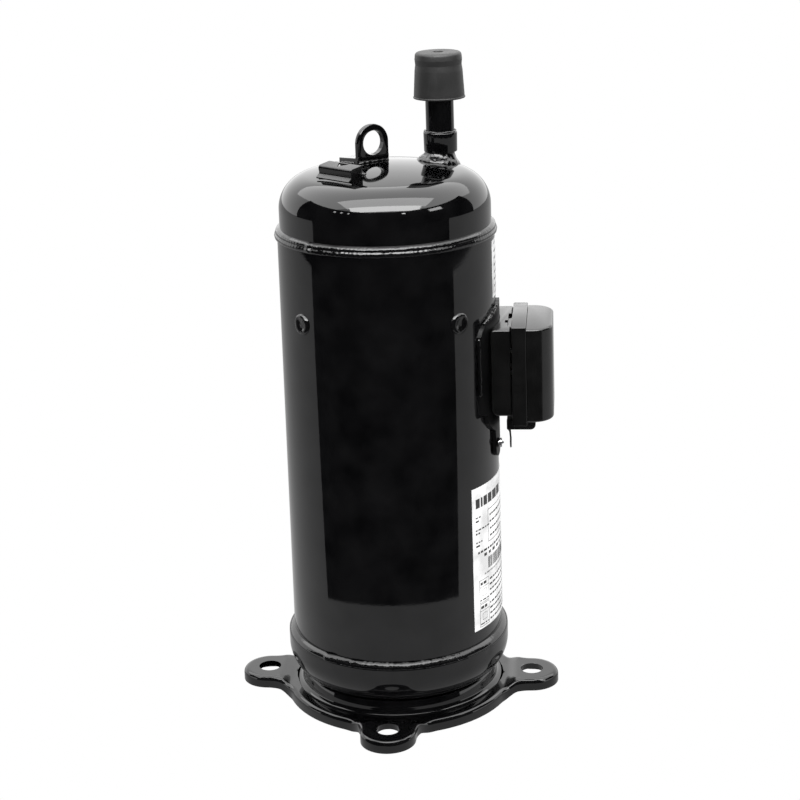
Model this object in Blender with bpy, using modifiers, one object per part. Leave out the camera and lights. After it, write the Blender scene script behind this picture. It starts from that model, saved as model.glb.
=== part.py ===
"""Hermetic scroll compressor for an air conditioner, built piece by piece.

Drawn in millimetres and written in metres, +Z up.  The origin is on the floor under the
shaft's axis.  +X points at the terminal box, and the four feet point along +X, +Y, -X, -Y.
"""
import math

import bmesh
import bpy
from mathutils import Matrix, Vector

MM = 0.001                 # one drawing millimetre, in metres
GAP = 0.3                  # air left between a piece and its neighbour
MERGE = 0.00001            # merge distance of the turned pieces, in metres
ROUND = 40                 # flats around a large turned piece

# ---- shell, caps and welds ----
SHELL_R = 82.5
SHELL_WALL = 3.5
SHELL_BORE = SHELL_R - SHELL_WALL
SHELL_FOOT, SHELL_TOP = 43.0, 371.0
TOP_CAP_R, TOP_CAP_WALL = 80.5, 4.0
TOP_KNUCKLE_R, TOP_KNUCKLE_Z = 26.0, 391.7
CROWN_R = 330.0
TOP_SKIRT_FOOT = 362.0
BOTTOM_CAP_R, BOTTOM_CAP_WALL = 86.8, 4.0
BOTTOM_KNUCKLE_R, BOTTOM_KNUCKLE_Z = 24.0, 42.0
BOTTOM_CAP_TOP = 51.6
BEAD_R = 84.8
PLUG_WELD_Z, PLUG_WELD_R, PLUG_STEM_R = 314.0, 8.0, 4.6

# ---- base plate ----
RING_R = 89.5
RING_BORE = 71.8
RING_TOP = 9.0
PLATE_T = 4.5
SKIRT_T = 4.0
EAR_CENTRE, EAR_R, EAR_FILLET = 105.2, 21.0, 25.0
EAR_LIFT = 3.6
LIFT_FROM, LIFT_TO, LIFT_STEPS = 84.0, 95.0, 3
GROMMET_R = 8.75

# ---- refrigerant tubes ----
SUCTION_X, SUCTION_Y = 41.5, 29.0
SUCTION_R, SUCTION_WALL = 10.8, 1.3
SUCTION_FOOT, SUCTION_TOP = 368.3, 494.0
MOUTH_ROOM = 2.3           # air between a tube's mouth and the end wall of its plug
COLLAR_R, COLLAR_FOOT, COLLAR_TOP = 12.95, 426.0, 442.4
PLUG_FOOT, PLUG_TOP, PLUG_R = 468.4, 503.5, 19.8
DISCHARGE_Z, DISCHARGE_R, DISCHARGE_WALL = 262.0, 7.95, 1.3
DISCHARGE_IN, DISCHARGE_OUT = 74.0, 116.0

# ---- fittings on the top cap ----
LUG_MID = (-9.8, 13.3)
LUG_TURN = 41.0            # direction of the lug's width, degrees from +X
LUG_W, LUG_T, LUG_HOLE_Z, LUG_HOLE_R = 28.5, 4.5, 437.2, 9.4
LUG_FOOT_LONG = 24.0
CLIP_R, CLIP_TURN = 44.8, 231.3
CLIP_LONG, CLIP_DEEP, CLIP_HIGH, CLIP_T = 34.0, 12.0, 8.5, 1.3

# ---- terminal box, on the +X side ----
TERMINAL_Z = 266.0
TERMINAL_HOLE_R = 22.0
FLANGE_OUT = 85.3
EARTH_Y, EARTH_Z = -17.9, 208.0
BOX_BACK, BOX_FRONT = 79.2, 94.7
RIM_FRONT, COVER_FRONT = 106.0, 126.0
BOX_HALF_W = 36.8
BOX_LOW, BOX_HIGH = 234.5, 302.0
RIM_LOW, RIM_HIGH = 227.2, 304.2
COVER_LOW, COVER_HIGH, COVER_CORNER = 229.6, 302.5, 16.0
WALL = 2.2                 # thickness of the moulded walls
OUTLET_LOW, OUTLET_BACK, OUTLET_FRONT = 219.4, 90.0, 112.0
OUTLET_HALF_W = 22.0
PIN_CIRCLE, PIN_R = 10.0, 1.9

# ---- scroll set, frames and shaft ----
ORBIT = 5.0                # eccentricity of the crank pin
BASE_CIRCLE = 3.0
WRAP_T = 4.0
WRAP_FROM, WRAP_TO, WRAP_STEPS = 3.5, 16.0, 60
FIXED_TURN = -105.0        # degrees; the orbiting wrap is half a turn further on
FRAME_R = SHELL_BORE - GAP
FRAME_TOP, FRAME_RIM_FOOT, HUB_FOOT = 328.0, 298.0, 250.0
THRUST_Z, OLDHAM_FLOOR = 311.7, 304.5
ORBIT_PLATE_R, ORBIT_PLATE_Z0, ORBIT_PLATE_Z1 = 58.0, 312.0, 322.0
FIXED_PLATE_Z0, FIXED_PLATE_Z1 = 352.3, 361.5
BOLT_CIRCLE, BOLT_TURN = 70.0, 13.5
SHAFT_R, SHAFT_FOOT, SHAFT_TOP = 16.9, 58.0, 284.0
CRANK_PIN_R, CRANK_PIN_TOP = 11.0, 309.0
GALLERY_R = 2.3
KEY_CIRCLE = 54.0
REED_ROOT_X = -26.0

# ---- motor ----
STACK_LOW, STACK_HIGH = 125.0, 205.0
STATOR_BORE, ROTOR_R = 42.2, 41.4
SLOTS, SLOT_IN, SLOT_OUT, SLOT_HALF_W = 24, 47.0, 63.0, 2.8

BLACK_PAINT = ("black_paint", (0.012, 0.012, 0.013), 0.0, 0.16)
RUBBER = ("rubber", (0.035, 0.035, 0.036), 0.0, 0.75)
BOX_PLASTIC = ("box_plastic", (0.014, 0.014, 0.015), 0.0, 0.25)
LABEL_WHITE = ("label_white", (0.85, 0.85, 0.85), 0.0, 0.35)
STEEL = ("steel", (0.55, 0.55, 0.55), 1.0, 0.32)
CAST_IRON = ("cast_iron", (0.20, 0.20, 0.21), 0.85, 0.5)
LAMINATION = ("lamination", (0.32, 0.33, 0.35), 0.9, 0.45)
COPPER = ("copper_wire", (0.60, 0.26, 0.12), 0.9, 0.35)
ALUMINIUM = ("aluminium", (0.75, 0.76, 0.78), 1.0, 0.35)
BRONZE = ("bronze", (0.50, 0.36, 0.18), 0.9, 0.4)

for leftover in list(bpy.data.objects):
    bpy.data.objects.remove(leftover, do_unlink=True)


def new_collection(name):
    """A collection linked to the scene."""
    made = bpy.data.collections.new(name)
    bpy.context.scene.collection.children.link(made)
    return made


PARTS = new_collection("scroll_compressor")
CUTTERS = new_collection("cutters")


# ------------------------------------------------------------------ helpers
def material(finish):
    """The Principled material of a finish, made once."""
    name, colour, metallic, roughness = finish
    if name in bpy.data.materials:
        return bpy.data.materials[name]
    made = bpy.data.materials.new(name)
    made.use_nodes = True
    shader = made.node_tree.nodes["Principled BSDF"]
    shader.inputs["Base Color"].default_value = (*colour, 1.0)
    shader.inputs["Metallic"].default_value = metallic
    shader.inputs["Roughness"].default_value = roughness
    return made


def add_object(name, mesh, finish):
    """Put a mesh in the parts collection, or among the cutters when it has no finish."""
    made = bpy.data.objects.new(name, mesh)
    if finish is None:
        made.hide_render = True
        made.display_type = "WIRE"
        CUTTERS.objects.link(made)
    else:
        mesh.materials.append(material(finish))
        PARTS.objects.link(made)
    return made


def clockwise(points):
    """A closed profile turned so that it runs down its outer side."""
    area = sum(a[0] * b[1] - b[0] * a[1] for a, b in zip(points, points[1:] + points[:1]))
    return points if area < 0 else points[::-1]


def arc(centre, radius, start, end, steps):
    """Points on an arc, angles in degrees, both ends included."""
    angles = [math.radians(start + (end - start) * i / steps) for i in range(steps + 1)]
    return [(centre[0] + radius * math.cos(a), centre[1] + radius * math.sin(a)) for a in angles]


def turned(name, profile, finish, segments=ROUND, closed=True):
    """A piece turned about its own Z axis from (radius, height) points."""
    points = clockwise(list(profile)) if closed else list(profile)
    count = len(points)
    edges = [(i, i + 1) for i in range(count - 1)]
    if closed:
        edges.append((count - 1, 0))
    mesh = bpy.data.meshes.new(name)
    mesh.from_pydata([(r * MM, 0.0, z * MM) for r, z in points], edges, [])
    made = add_object(name, mesh, finish)
    screw = made.modifiers.new("turn", "SCREW")
    screw.steps = segments
    screw.render_steps = segments
    screw.use_merge_vertices = True
    screw.merge_threshold = MERGE
    return made


def ring(name, inner, outer, low, high, finish, segments=ROUND):
    """A plain turned ring."""
    return turned(name, [(outer, high), (outer, low), (inner, low), (inner, high)], finish, segments)


def mesh_of(source):
    """The evaluated mesh of an object, its loose caps welded."""
    view = bpy.context.evaluated_depsgraph_get()
    mesh = bpy.data.meshes.new_from_object(source.evaluated_get(view))
    work = bmesh.new()
    work.from_mesh(mesh)
    bmesh.ops.remove_doubles(work, verts=work.verts, dist=MERGE)
    work.to_mesh(mesh)
    work.free()
    return mesh


def plate(name, outlines, thickness, finish):
    """A flat piece: its outlines lie in its own XY plane, its thickness runs up from there."""
    curve = bpy.data.curves.new(name + "_outline", "CURVE")
    curve.dimensions = "2D"
    curve.fill_mode = "BOTH"
    curve.extrude = thickness * MM / 2
    for outline in outlines:
        spline = curve.splines.new("POLY")
        spline.points.add(len(outline) - 1)
        spline.use_cyclic_u = True
        for point, (x, y) in zip(spline.points, outline):
            point.co = (x * MM, y * MM, 0.0, 1.0)
    drawn = bpy.data.objects.new(name + "_outline", curve)
    CUTTERS.objects.link(drawn)
    mesh = mesh_of(drawn)
    bpy.data.objects.remove(drawn, do_unlink=True)
    mesh.transform(Matrix.Translation((0.0, 0.0, thickness * MM / 2)))
    mesh.materials.clear()
    return add_object(name, mesh, finish)


def wire(name, points, radius, finish):
    """A round wire through its points."""
    curve = bpy.data.curves.new(name + "_path", "CURVE")
    curve.dimensions = "3D"
    curve.bevel_depth = radius * MM
    curve.bevel_resolution = 2
    curve.use_fill_caps = True
    curve.resolution_u = 1
    spline = curve.splines.new("POLY")
    spline.points.add(len(points) - 1)
    for point, place in zip(spline.points, points):
        point.co = (place[0] * MM, place[1] * MM, place[2] * MM, 1.0)
    drawn = bpy.data.objects.new(name + "_path", curve)
    CUTTERS.objects.link(drawn)
    mesh = mesh_of(drawn)
    bpy.data.objects.remove(drawn, do_unlink=True)
    mesh.materials.clear()
    return add_object(name, mesh, finish)


def block(name, low, high, finish):
    """A box between two corners."""
    mesh = bpy.data.meshes.new(name)
    work = bmesh.new()
    bmesh.ops.create_cube(work, size=1.0)
    size = [(b - a) * MM for a, b in zip(low, high)]
    middle = [(a + b) * MM / 2 for a, b in zip(low, high)]
    bmesh.ops.scale(work, vec=size, verts=work.verts)
    bmesh.ops.translate(work, vec=middle, verts=work.verts)
    work.to_mesh(mesh)
    work.free()
    return add_object(name, mesh, finish)


def rod(name, start, end, radius, finish=None, segments=24):
    """A cylinder from one point to another, by default a cutter."""
    first = Vector(start) * MM
    along = Vector(end) * MM - first
    mesh = bpy.data.meshes.new(name)
    work = bmesh.new()
    bmesh.ops.create_cone(work, cap_ends=True, segments=segments, radius1=radius * MM,
                          radius2=radius * MM, depth=along.length)
    turn = along.to_track_quat("Z", "Y").to_matrix().to_4x4()
    bmesh.ops.transform(work, matrix=Matrix.Translation(first + along / 2) @ turn, verts=work.verts)
    work.to_mesh(mesh)
    work.free()
    return add_object(name, mesh, finish)


def boolean(target, tool, operation):
    """Cut, join or intersect a piece with a tool that is not a piece itself."""
    step = target.modifiers.new(tool.name, "BOOLEAN")
    step.operation = operation
    step.solver = "EXACT"
    step.object = tool


def cut(target, tool):
    """Take the tool's volume away from a piece."""
    boolean(target, tool, "DIFFERENCE")


def join(target, tool):
    """Add the tool's volume to a piece."""
    boolean(target, tool, "UNION")


def stand(piece, origin, x_axis, z_axis):
    """Place a piece by its origin in millimetres and two of its own axes."""
    z_dir = Vector(z_axis).normalized()
    x_dir = Vector(x_axis).normalized()
    y_dir = z_dir.cross(x_dir)
    turn = Matrix((x_dir, y_dir, z_dir)).transposed().to_4x4()
    piece.matrix_world = Matrix.Translation(Vector(origin) * MM) @ turn
    return piece


def around(radius, angle, height=0.0):
    """A point at a polar angle in degrees."""
    return (radius * math.cos(math.radians(angle)), radius * math.sin(math.radians(angle)), height)


# ------------------------------------------------------------------ shell and caps
def dome_points(radius, knuckle_r, knuckle_z, crown_r, side, knuckle_steps, crown_steps):
    """Cap profile from its straight side to the axis; side is +1 upwards or -1 downwards."""
    centre_r = radius - knuckle_r
    rise = math.sqrt((crown_r - knuckle_r) ** 2 - centre_r ** 2)
    crown_z = knuckle_z - side * rise
    meet = math.degrees(math.atan2(rise, centre_r)) * side
    points = arc((centre_r, knuckle_z), knuckle_r, 0.0, meet, knuckle_steps)
    points += arc((0.0, crown_z), crown_r, meet, 90.0 * side, crown_steps)[1:]
    points[-1] = (0.0, points[-1][1])
    return points


def top_dome(offset, knuckle_steps=5, crown_steps=2):
    """The top cap's surface, moved inwards by an offset."""
    return dome_points(TOP_CAP_R - offset, TOP_KNUCKLE_R - offset, TOP_KNUCKLE_Z,
                       CROWN_R - offset, 1, knuckle_steps, crown_steps)


def bottom_dome(offset, knuckle_steps=5, crown_steps=2):
    """The bottom cap's surface, moved inwards by an offset."""
    return dome_points(BOTTOM_CAP_R - offset, BOTTOM_KNUCKLE_R - offset, BOTTOM_KNUCKLE_Z,
                       CROWN_R - offset, -1, knuckle_steps, crown_steps)


def make_shell():
    """The drawn tube with its terminal, discharge and plug weld holes."""
    shell = ring("shell_tube", SHELL_BORE, SHELL_R, SHELL_FOOT, SHELL_TOP, BLACK_PAINT)
    cut(shell, rod("terminal_hole", (70, 0, TERMINAL_Z), (90, 0, TERMINAL_Z), TERMINAL_HOLE_R + GAP, None, 24))
    cut(shell, rod("discharge_hole", (0, 70, DISCHARGE_Z), (0, 90, DISCHARGE_Z), DISCHARGE_R + GAP))
    for number, angle in enumerate((45, 135, 225, 315), start=1):
        inner = around(SHELL_BORE - 3, angle, PLUG_WELD_Z)
        outer = around(SHELL_R + 3, angle, PLUG_WELD_Z)
        cut(shell, rod(f"plug_hole_{number}", inner, outer, PLUG_STEM_R + GAP, None, 12))


def make_top_cap():
    """The domed top cap: its skirt steps in to sit inside the shell."""
    inner = top_dome(TOP_CAP_WALL, 3, 2)
    skirt_r = SHELL_BORE - GAP
    step_z = SHELL_TOP + GAP
    outer = top_dome(0.0)
    profile = outer[::-1]
    profile += [(TOP_CAP_R, step_z), (skirt_r, step_z), (skirt_r, TOP_SKIRT_FOOT)]
    profile += [(skirt_r - TOP_CAP_WALL, TOP_SKIRT_FOOT), (skirt_r - TOP_CAP_WALL, step_z)]
    profile += inner
    cap = turned("top_cap", profile, BLACK_PAINT, closed=False)
    cut(cap, rod("suction_hole", (SUCTION_X, SUCTION_Y, 400), (SUCTION_X, SUCTION_Y, 430), SUCTION_R + GAP))


def make_bottom_cap():
    """The dished bottom cap, outside the shell, with the oil sump in it."""
    profile = bottom_dome(BOTTOM_CAP_WALL, 3, 2)[::-1]
    profile += [(BOTTOM_CAP_R - BOTTOM_CAP_WALL, BOTTOM_CAP_TOP), (BOTTOM_CAP_R, BOTTOM_CAP_TOP)]
    profile += bottom_dome(0.0)
    turned("bottom_cap", profile, BLACK_PAINT, closed=False)


def make_weld_beads():
    """The two weld beads around the shell, and the four plug welds that hold the main frame."""
    side = SHELL_R + GAP
    seat = SHELL_TOP + GAP
    turned("top_weld", [(BEAD_R, seat + 2.5), (BEAD_R - 0.5, seat - 0.5), (side, seat - 1.3), (side, seat),
                        (TOP_CAP_R + GAP, seat + GAP), (TOP_CAP_R + GAP, seat + 6.8),
                        (TOP_CAP_R + 2.2, seat + 6.2), (BEAD_R - 0.8, seat + 4.8)], BLACK_PAINT)
    seat = BOTTOM_CAP_TOP + GAP
    turned("bottom_weld", [(BOTTOM_CAP_R, seat), (BOTTOM_CAP_R, seat + 1.2), (BOTTOM_CAP_R - 1.6, seat + 2.9),
                           (side + 0.7, seat + 4.0), (side, seat + 4.0), (side, seat)], BLACK_PAINT)
    crater = [(0.0, 1.0), (PLUG_WELD_R * 0.45, 1.1), (PLUG_WELD_R * 0.8, 2.1), (PLUG_WELD_R, 0.7),
              (PLUG_WELD_R, 0.0), (PLUG_STEM_R, 0.0), (PLUG_STEM_R, -SHELL_WALL - GAP), (0.0, -SHELL_WALL - GAP)]
    for number, angle in enumerate((45, 135, 225, 315), start=1):
        weld = turned(f"plug_weld_{number}", crater, BLACK_PAINT, 14, closed=False)
        stand(weld, around(SHELL_R + GAP, angle, PLUG_WELD_Z), (0, 0, 1), around(1, angle))


# ------------------------------------------------------------------ base plate
def foot_outline(inset):
    """The four-eared outline, moved inwards by an inset."""
    reach, lean = RING_R + EAR_FILLET, EAR_R + EAR_FILLET
    turn = math.acos((reach ** 2 + EAR_CENTRE ** 2 - lean ** 2) / (2 * reach * EAR_CENTRE))
    hollow = (reach * math.cos(turn), reach * math.sin(turn))
    slope = math.degrees(math.atan2(hollow[1], hollow[0] - EAR_CENTRE))
    spread = math.degrees(turn)
    quarter = arc((EAR_CENTRE, 0.0), EAR_R - inset, -slope, slope, 12)
    quarter += arc(hollow, EAR_FILLET + inset, slope - 180.0, spread - 180.0, 4)[1:]
    quarter += arc((0.0, 0.0), RING_R - inset, spread, 90.0 - spread, 4)[1:]
    mirrored = (hollow[1], hollow[0])
    quarter += arc(mirrored, EAR_FILLET + inset, 270.0 - spread, 270.0 - slope, 4)[1:-1]
    outline = []
    for corner in range(4):
        c, s = ((1, 0), (0, 1), (-1, 0), (0, -1))[corner]
        outline += [(c * x - s * y, s * x + c * y) for x, y in quarter]
    return outline


def lift_ears(mesh):
    """Raise the ears above the ring, with a short slope between them."""
    work = bmesh.new()
    work.from_mesh(mesh)
    bmesh.ops.dissolve_limit(work, angle_limit=math.radians(0.5), verts=work.verts, edges=work.edges)
    for direction in (Vector((1, 0, 0)), Vector((0, 1, 0)), Vector((-1, 0, 0)), Vector((0, -1, 0))):
        for step in range(LIFT_STEPS + 1):
            reach = (LIFT_FROM + (LIFT_TO - LIFT_FROM) * step / LIFT_STEPS) * MM
            bmesh.ops.bisect_plane(work, geom=work.verts[:] + work.edges[:] + work.faces[:], dist=MERGE,
                                   plane_co=direction * reach, plane_no=direction)
    for vert in work.verts:
        reach = max(abs(vert.co.x), abs(vert.co.y)) / MM
        part = min(max((reach - LIFT_FROM) / (LIFT_TO - LIFT_FROM), 0.0), 1.0)
        vert.co.z += EAR_LIFT * MM * part * part * (3.0 - 2.0 * part)
    work.to_mesh(mesh)
    work.free()


def make_base_plate():
    """Pressed steel base: a ring and four ears with turned-down edges, and an upturned bore."""
    raw = plate("base_blank", [foot_outline(0.0)], RING_TOP, None)
    work = bmesh.new()
    work.from_mesh(raw.data)
    top = [e for e in work.edges if len(e.link_faces) == 2
           and all(abs(v.co.z - RING_TOP * MM) < MERGE for v in e.verts)
           and abs(e.link_faces[0].normal.z - e.link_faces[1].normal.z) > 0.5]
    bmesh.ops.bevel(work, geom=top, offset=3.6 * MM, offset_type="OFFSET", segments=2, profile=0.5,
                    affect="EDGES", clamp_overlap=True, material=-1)
    work.to_mesh(raw.data)
    work.free()
    recess = plate("base_recess", [foot_outline(SKIRT_T)], RING_TOP - PLATE_T + 1.0, None)
    recess.location.z = -1.0 * MM
    cut(raw, recess)
    cut(raw, rod("base_bore", (0, 0, -2), (0, 0, 30), RING_BORE + 4.0, None, ROUND))
    for number in range(4):
        x, y, _ = around(EAR_CENTRE, 90 * number)
        cut(raw, rod(f"grommet_hole_{number}", (x, y, -2), (x, y, 30), GROMMET_R, None, 24))
    collar = [(RING_BORE + 0.4, 19.0), (RING_BORE + 3.5, 20.4), (RING_BORE + 4.5, 12.5),
              (RING_BORE + 8.5, RING_TOP - 0.5), (RING_BORE + 8.5, PLATE_T + 0.5), (RING_BORE, PLATE_T + 0.5)]
    join(raw, turned("base_collar", collar, None))
    mesh = mesh_of(raw)
    lift_ears(mesh)
    mesh.materials.clear()
    bpy.data.objects.remove(raw, do_unlink=True)
    add_object("base_plate", mesh, BLACK_PAINT)


# ------------------------------------------------------------------ tubes and plugs
def make_dome_cutter(name):
    """Solid of the top cap's outer shape with its gap, to trim what stands on the cap."""
    profile = top_dome(-GAP, 8, 6)[::-1] + [(TOP_CAP_R, 380.0), (0.0, 380.0)]
    return turned(name, profile, None, 72, closed=False)


def make_suction_side(dome):
    """Suction tube through the top cap, its collar and weld, and the rubber plug on its mouth."""
    bore = SUCTION_R - SUCTION_WALL
    tube = ring("suction_tube", bore, SUCTION_R, SUCTION_FOOT, SUCTION_TOP, BLACK_PAINT, 32)
    clear = SUCTION_R + GAP
    collar = turned("suction_collar", [(COLLAR_R, COLLAR_TOP - 1.0), (COLLAR_R, COLLAR_FOOT), (clear, COLLAR_FOOT),
                                       (clear, COLLAR_TOP), (COLLAR_R - 1.0, COLLAR_TOP)], BLACK_PAINT, 32)
    weld = turned("suction_weld", [(COLLAR_R - 0.4, COLLAR_FOOT - GAP), (COLLAR_R + 1.2, COLLAR_FOOT - 2.5),
                                   (17.6, COLLAR_FOOT - 5.6), (18.5, 410.0), (clear, 410.0),
                                   (clear, COLLAR_FOOT - GAP)], BLACK_PAINT, 32)
    hollow = SUCTION_TOP + MOUTH_ROOM
    plug = turned("suction_plug", [(0.0, PLUG_TOP - 4.0), (3.6, PLUG_TOP - 4.0), (4.0, PLUG_TOP),
                                   (PLUG_R - 3.6, PLUG_TOP), (PLUG_R - 1.8, PLUG_TOP - 1.4),
                                   (PLUG_R - 1.6, PLUG_TOP - 11.0), (PLUG_R, PLUG_FOOT + 3.0),
                                   (PLUG_R, PLUG_FOOT), (clear, PLUG_FOOT), (clear, hollow), (0.0, hollow)],
                  RUBBER, 32, closed=False)
    for piece in (tube, collar, weld, plug):
        piece.location = (SUCTION_X * MM, SUCTION_Y * MM, 0.0)
    cut(weld, dome)


def make_discharge_side():
    """Discharge stub on the back of the shell, its weld and its plug."""
    bore = DISCHARGE_R - DISCHARGE_WALL
    clear = DISCHARGE_R + GAP
    tube = ring("discharge_tube", bore, DISCHARGE_R, DISCHARGE_IN, DISCHARGE_OUT, BLACK_PAINT, 24)
    foot = SHELL_R + GAP
    weld = turned("discharge_weld", [(DISCHARGE_R + 1.2, foot + 4.2), (13.0, foot), (clear, foot),
                                     (clear, foot + 4.2)], BLACK_PAINT, 24)
    mouth = DISCHARGE_OUT + MOUTH_ROOM
    plug = turned("discharge_plug", [(0.0, 124.5), (11.2, 124.5), (12.2, 123.5), (12.6, 101.0), (clear, 101.0),
                                     (clear, mouth), (0.0, mouth)], RUBBER, 24, closed=False)
    for piece in (tube, weld, plug):
        stand(piece, (0, 0, DISCHARGE_Z), (1, 0, 0), (0, 1, 0))


# ------------------------------------------------------------------ fittings on the cap
def make_lifting_lug(dome):
    """Lifting eye: an upright ring plate bent out of a foot that lies on the cap."""
    width_dir = Vector(around(1, LUG_TURN))
    face_dir = Vector((width_dir.y, -width_dir.x, 0.0))
    half = LUG_W / 2
    crown = arc((0.0, LUG_HOLE_Z), half, 0.0, 180.0, 14)
    eye = arc((0.0, LUG_HOLE_Z), LUG_HOLE_R, 0.0, 345.0, 23)
    lug = plate("lifting_lug", [crown + [(-half, 421.0), (half, 421.0)], eye], LUG_T, BLACK_PAINT)
    origin = Vector((*LUG_MID, 0.0)) - face_dir * LUG_T / 2
    stand(lug, origin, width_dir, face_dir)
    top = 426.6
    drop = math.tan(math.radians(5.0))
    corner = arc((0.0, top - LUG_T + 3.0), 3.0, 270.0, 360.0, 3)
    far = -LUG_FOOT_LONG
    side = [(-1.0 + x, y) for x, y in corner]
    side += [(2.0, top), (far, top + far * drop), (far, top - LUG_T - 1.5 + far * drop)]
    foot = plate("lug_foot", [side], LUG_W, None)
    stand(foot, Vector((*LUG_MID, 0.0)) + width_dir * half, face_dir, -width_dir)
    join(lug, foot)
    cut(lug, dome)


def make_sensor_clip(dome):
    """Spring clip that holds a temperature sensor on the cap."""
    out_dir = Vector(around(1, CLIP_TURN))
    long_dir = Vector((out_dir.y, -out_dir.x, 0.0))
    middle = Vector(around(CLIP_R, CLIP_TURN, 419.4))
    high, deep, thick = CLIP_HIGH, CLIP_DEEP / 2, CLIP_T
    bend = arc((deep - 2.5, high - 2.5), 2.5, 90.0, 0.0, 3)
    inside = arc((deep - 2.5, high - 2.5), 2.5 - thick, 0.0, 90.0, 3)
    section = [(-deep, high)] + bend + [(deep, 0.0), (-deep, 0.0), (-deep, thick), (deep - thick, thick)]
    section += inside + [(-deep, high - thick)]
    clip = plate("sensor_clip", [section], CLIP_LONG, BLACK_PAINT)
    tilt = math.asin(CLIP_R / CROWN_R)
    up = out_dir * math.sin(tilt) + Vector((0, 0, 1)) * math.cos(tilt)
    flat = up.cross(long_dir)
    if flat.dot(out_dir) < 0:
        flat = -flat
    across = flat.cross(up)
    stand(clip, middle - across * (CLIP_LONG / 2) + up * 0.9, flat, across)
    end = block("clip_end", (-deep + 1.0, 0.2, 0.0), (deep - 0.6, high - 1.0, thick), None)
    end.matrix_world = clip.matrix_world.copy()
    join(clip, end)
    notch = plate("clip_notch", [[(-7.0, 7.5), (-7.0, -7.5), (2.0, 0.0)]], 4.0, None)
    notch_origin = middle + up * (high - 1.8)
    stand(notch, notch_origin, flat, up)
    cut(clip, notch)
    cut(clip, dome)


# ------------------------------------------------------------------ terminal box
def make_terminal():
    """Hermetic terminal in the shell's side: its disc and three pins."""
    disc = turned("terminal_disc", [(0.0, 2.0), (TERMINAL_HOLE_R, 2.0), (TERMINAL_HOLE_R, -3.0), (0.0, -3.0)],
                  STEEL, 24, closed=False)
    stand(disc, (SHELL_BORE + 2.0, 0, TERMINAL_Z), (0, 0, 1), (1, 0, 0))
    for number in range(3):
        y, z, _ = around(PIN_CIRCLE, 90 + 120 * number)
        hole = rod(f"pin_hole_{number + 1}", (70, y, TERMINAL_Z + z), (90, y, TERMINAL_Z + z), PIN_R + GAP, None, 10)
        cut(disc, hole)
        rod(f"terminal_pin_{number + 1}", (68, y, TERMINAL_Z + z), (98, y, TERMINAL_Z + z), PIN_R, STEEL, 10)


def make_terminal_flange():
    """Sheet bracket welded to the shell behind the box, with its earth tail."""
    shape = [(-44, 250), (-44, 299), (-37, 307), (-21, 314.5), (8, 316), (30, 309), (44, 299), (44, 250),
             (36, 240), (EARTH_Y + 5.5, 232), (EARTH_Y + 5.5, EARTH_Z - 4.7)]
    shape += arc((EARTH_Y, EARTH_Z - 4.7), 5.5, 0.0, -180.0, 6)[1:]
    shape += [(-24.3, 219.5), (-36, 229), (-37, 236), (-42, 237)]
    flange = plate("terminal_flange", [shape], 50.0, BLACK_PAINT)
    stand(flange, (50, 0, 0), (0, 1, 0), (1, 0, 0))
    boolean(flange, ring("flange_bend", SHELL_R + GAP, FLANGE_OUT, 190, 330, None, 96), "INTERSECT")
    cut(flange, rod("flange_hole", (70, 0, TERMINAL_Z), (99, 0, TERMINAL_Z), TERMINAL_HOLE_R + 2.0, None, 24))
    cut(flange, rod("earth_hole", (60, EARTH_Y, EARTH_Z), (99, EARTH_Y, EARTH_Z), 1.8, None, 12))
    screw = turned("earth_screw", [(0.0, 2.6), (3.2, 2.2), (3.6, 0.8), (3.6, 0.0), (1.5, 0.0), (1.5, -3.2),
                                   (0.0, -3.2)], STEEL, 16, closed=False)
    stand(screw, (FLANGE_OUT + GAP, EARTH_Y, EARTH_Z), (0, 0, 1), (1, 0, 0))


def make_terminal_box():
    """The moulded box behind the seam, its rim, the pull-off cover and the cable outlet."""
    half, inner = BOX_HALF_W - 1.5, BOX_HALF_W - 1.5 - WALL
    box = block("terminal_box", (BOX_BACK, -half, BOX_LOW), (BOX_FRONT, half, BOX_HIGH), BOX_PLASTIC)
    cut(box, rod("box_saddle", (0, 0, BOX_LOW - 5), (0, 0, BOX_HIGH + 5), FLANGE_OUT + GAP, None, ROUND))
    floor_x = FLANGE_OUT + GAP + WALL
    cut(box, block("box_hollow", (floor_x, -inner, BOX_LOW + WALL), (99, inner, BOX_HIGH - WALL), None))
    cut(box, rod("box_hole", (70, 0, TERMINAL_Z), (99, 0, TERMINAL_Z), TERMINAL_HOLE_R, None, 24))
    rim = block("terminal_rim", (BOX_FRONT + GAP, -BOX_HALF_W, RIM_LOW), (RIM_FRONT, BOX_HALF_W, RIM_HIGH),
                BOX_PLASTIC)
    cut(rim, block("rim_hollow", (90, -BOX_HALF_W + 3, RIM_LOW + 5), (110, BOX_HALF_W - 3, RIM_HIGH - 3), None))
    cut(rim, block("rim_outlet", (97, -8, RIM_LOW - 5), (104, 8, RIM_LOW + 10), None))
    make_cover()
    corner = arc((OUTLET_FRONT - 5, OUTLET_LOW + 5), 5.0, 0.0, -90.0, 4)
    side = [(OUTLET_BACK, RIM_LOW - GAP), (OUTLET_FRONT, RIM_LOW - GAP)] + corner + [(OUTLET_BACK, OUTLET_LOW)]
    outlet = plate("cable_outlet", [side], 2 * OUTLET_HALF_W, BOX_PLASTIC)
    stand(outlet, (0, OUTLET_HALF_W, 0), (1, 0, 0), (0, -1, 0))
    cut(outlet, block("outlet_hole", (97, -8, OUTLET_LOW - 5), (104, 8, 235), None))
    tail = [(92.5, -9, OUTLET_LOW - GAP), (92.5, -9, 213), (92.3, -9, 206), (92.5, -9, 200.5)]
    wire("outlet_wire", tail, 0.7, STEEL)


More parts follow.
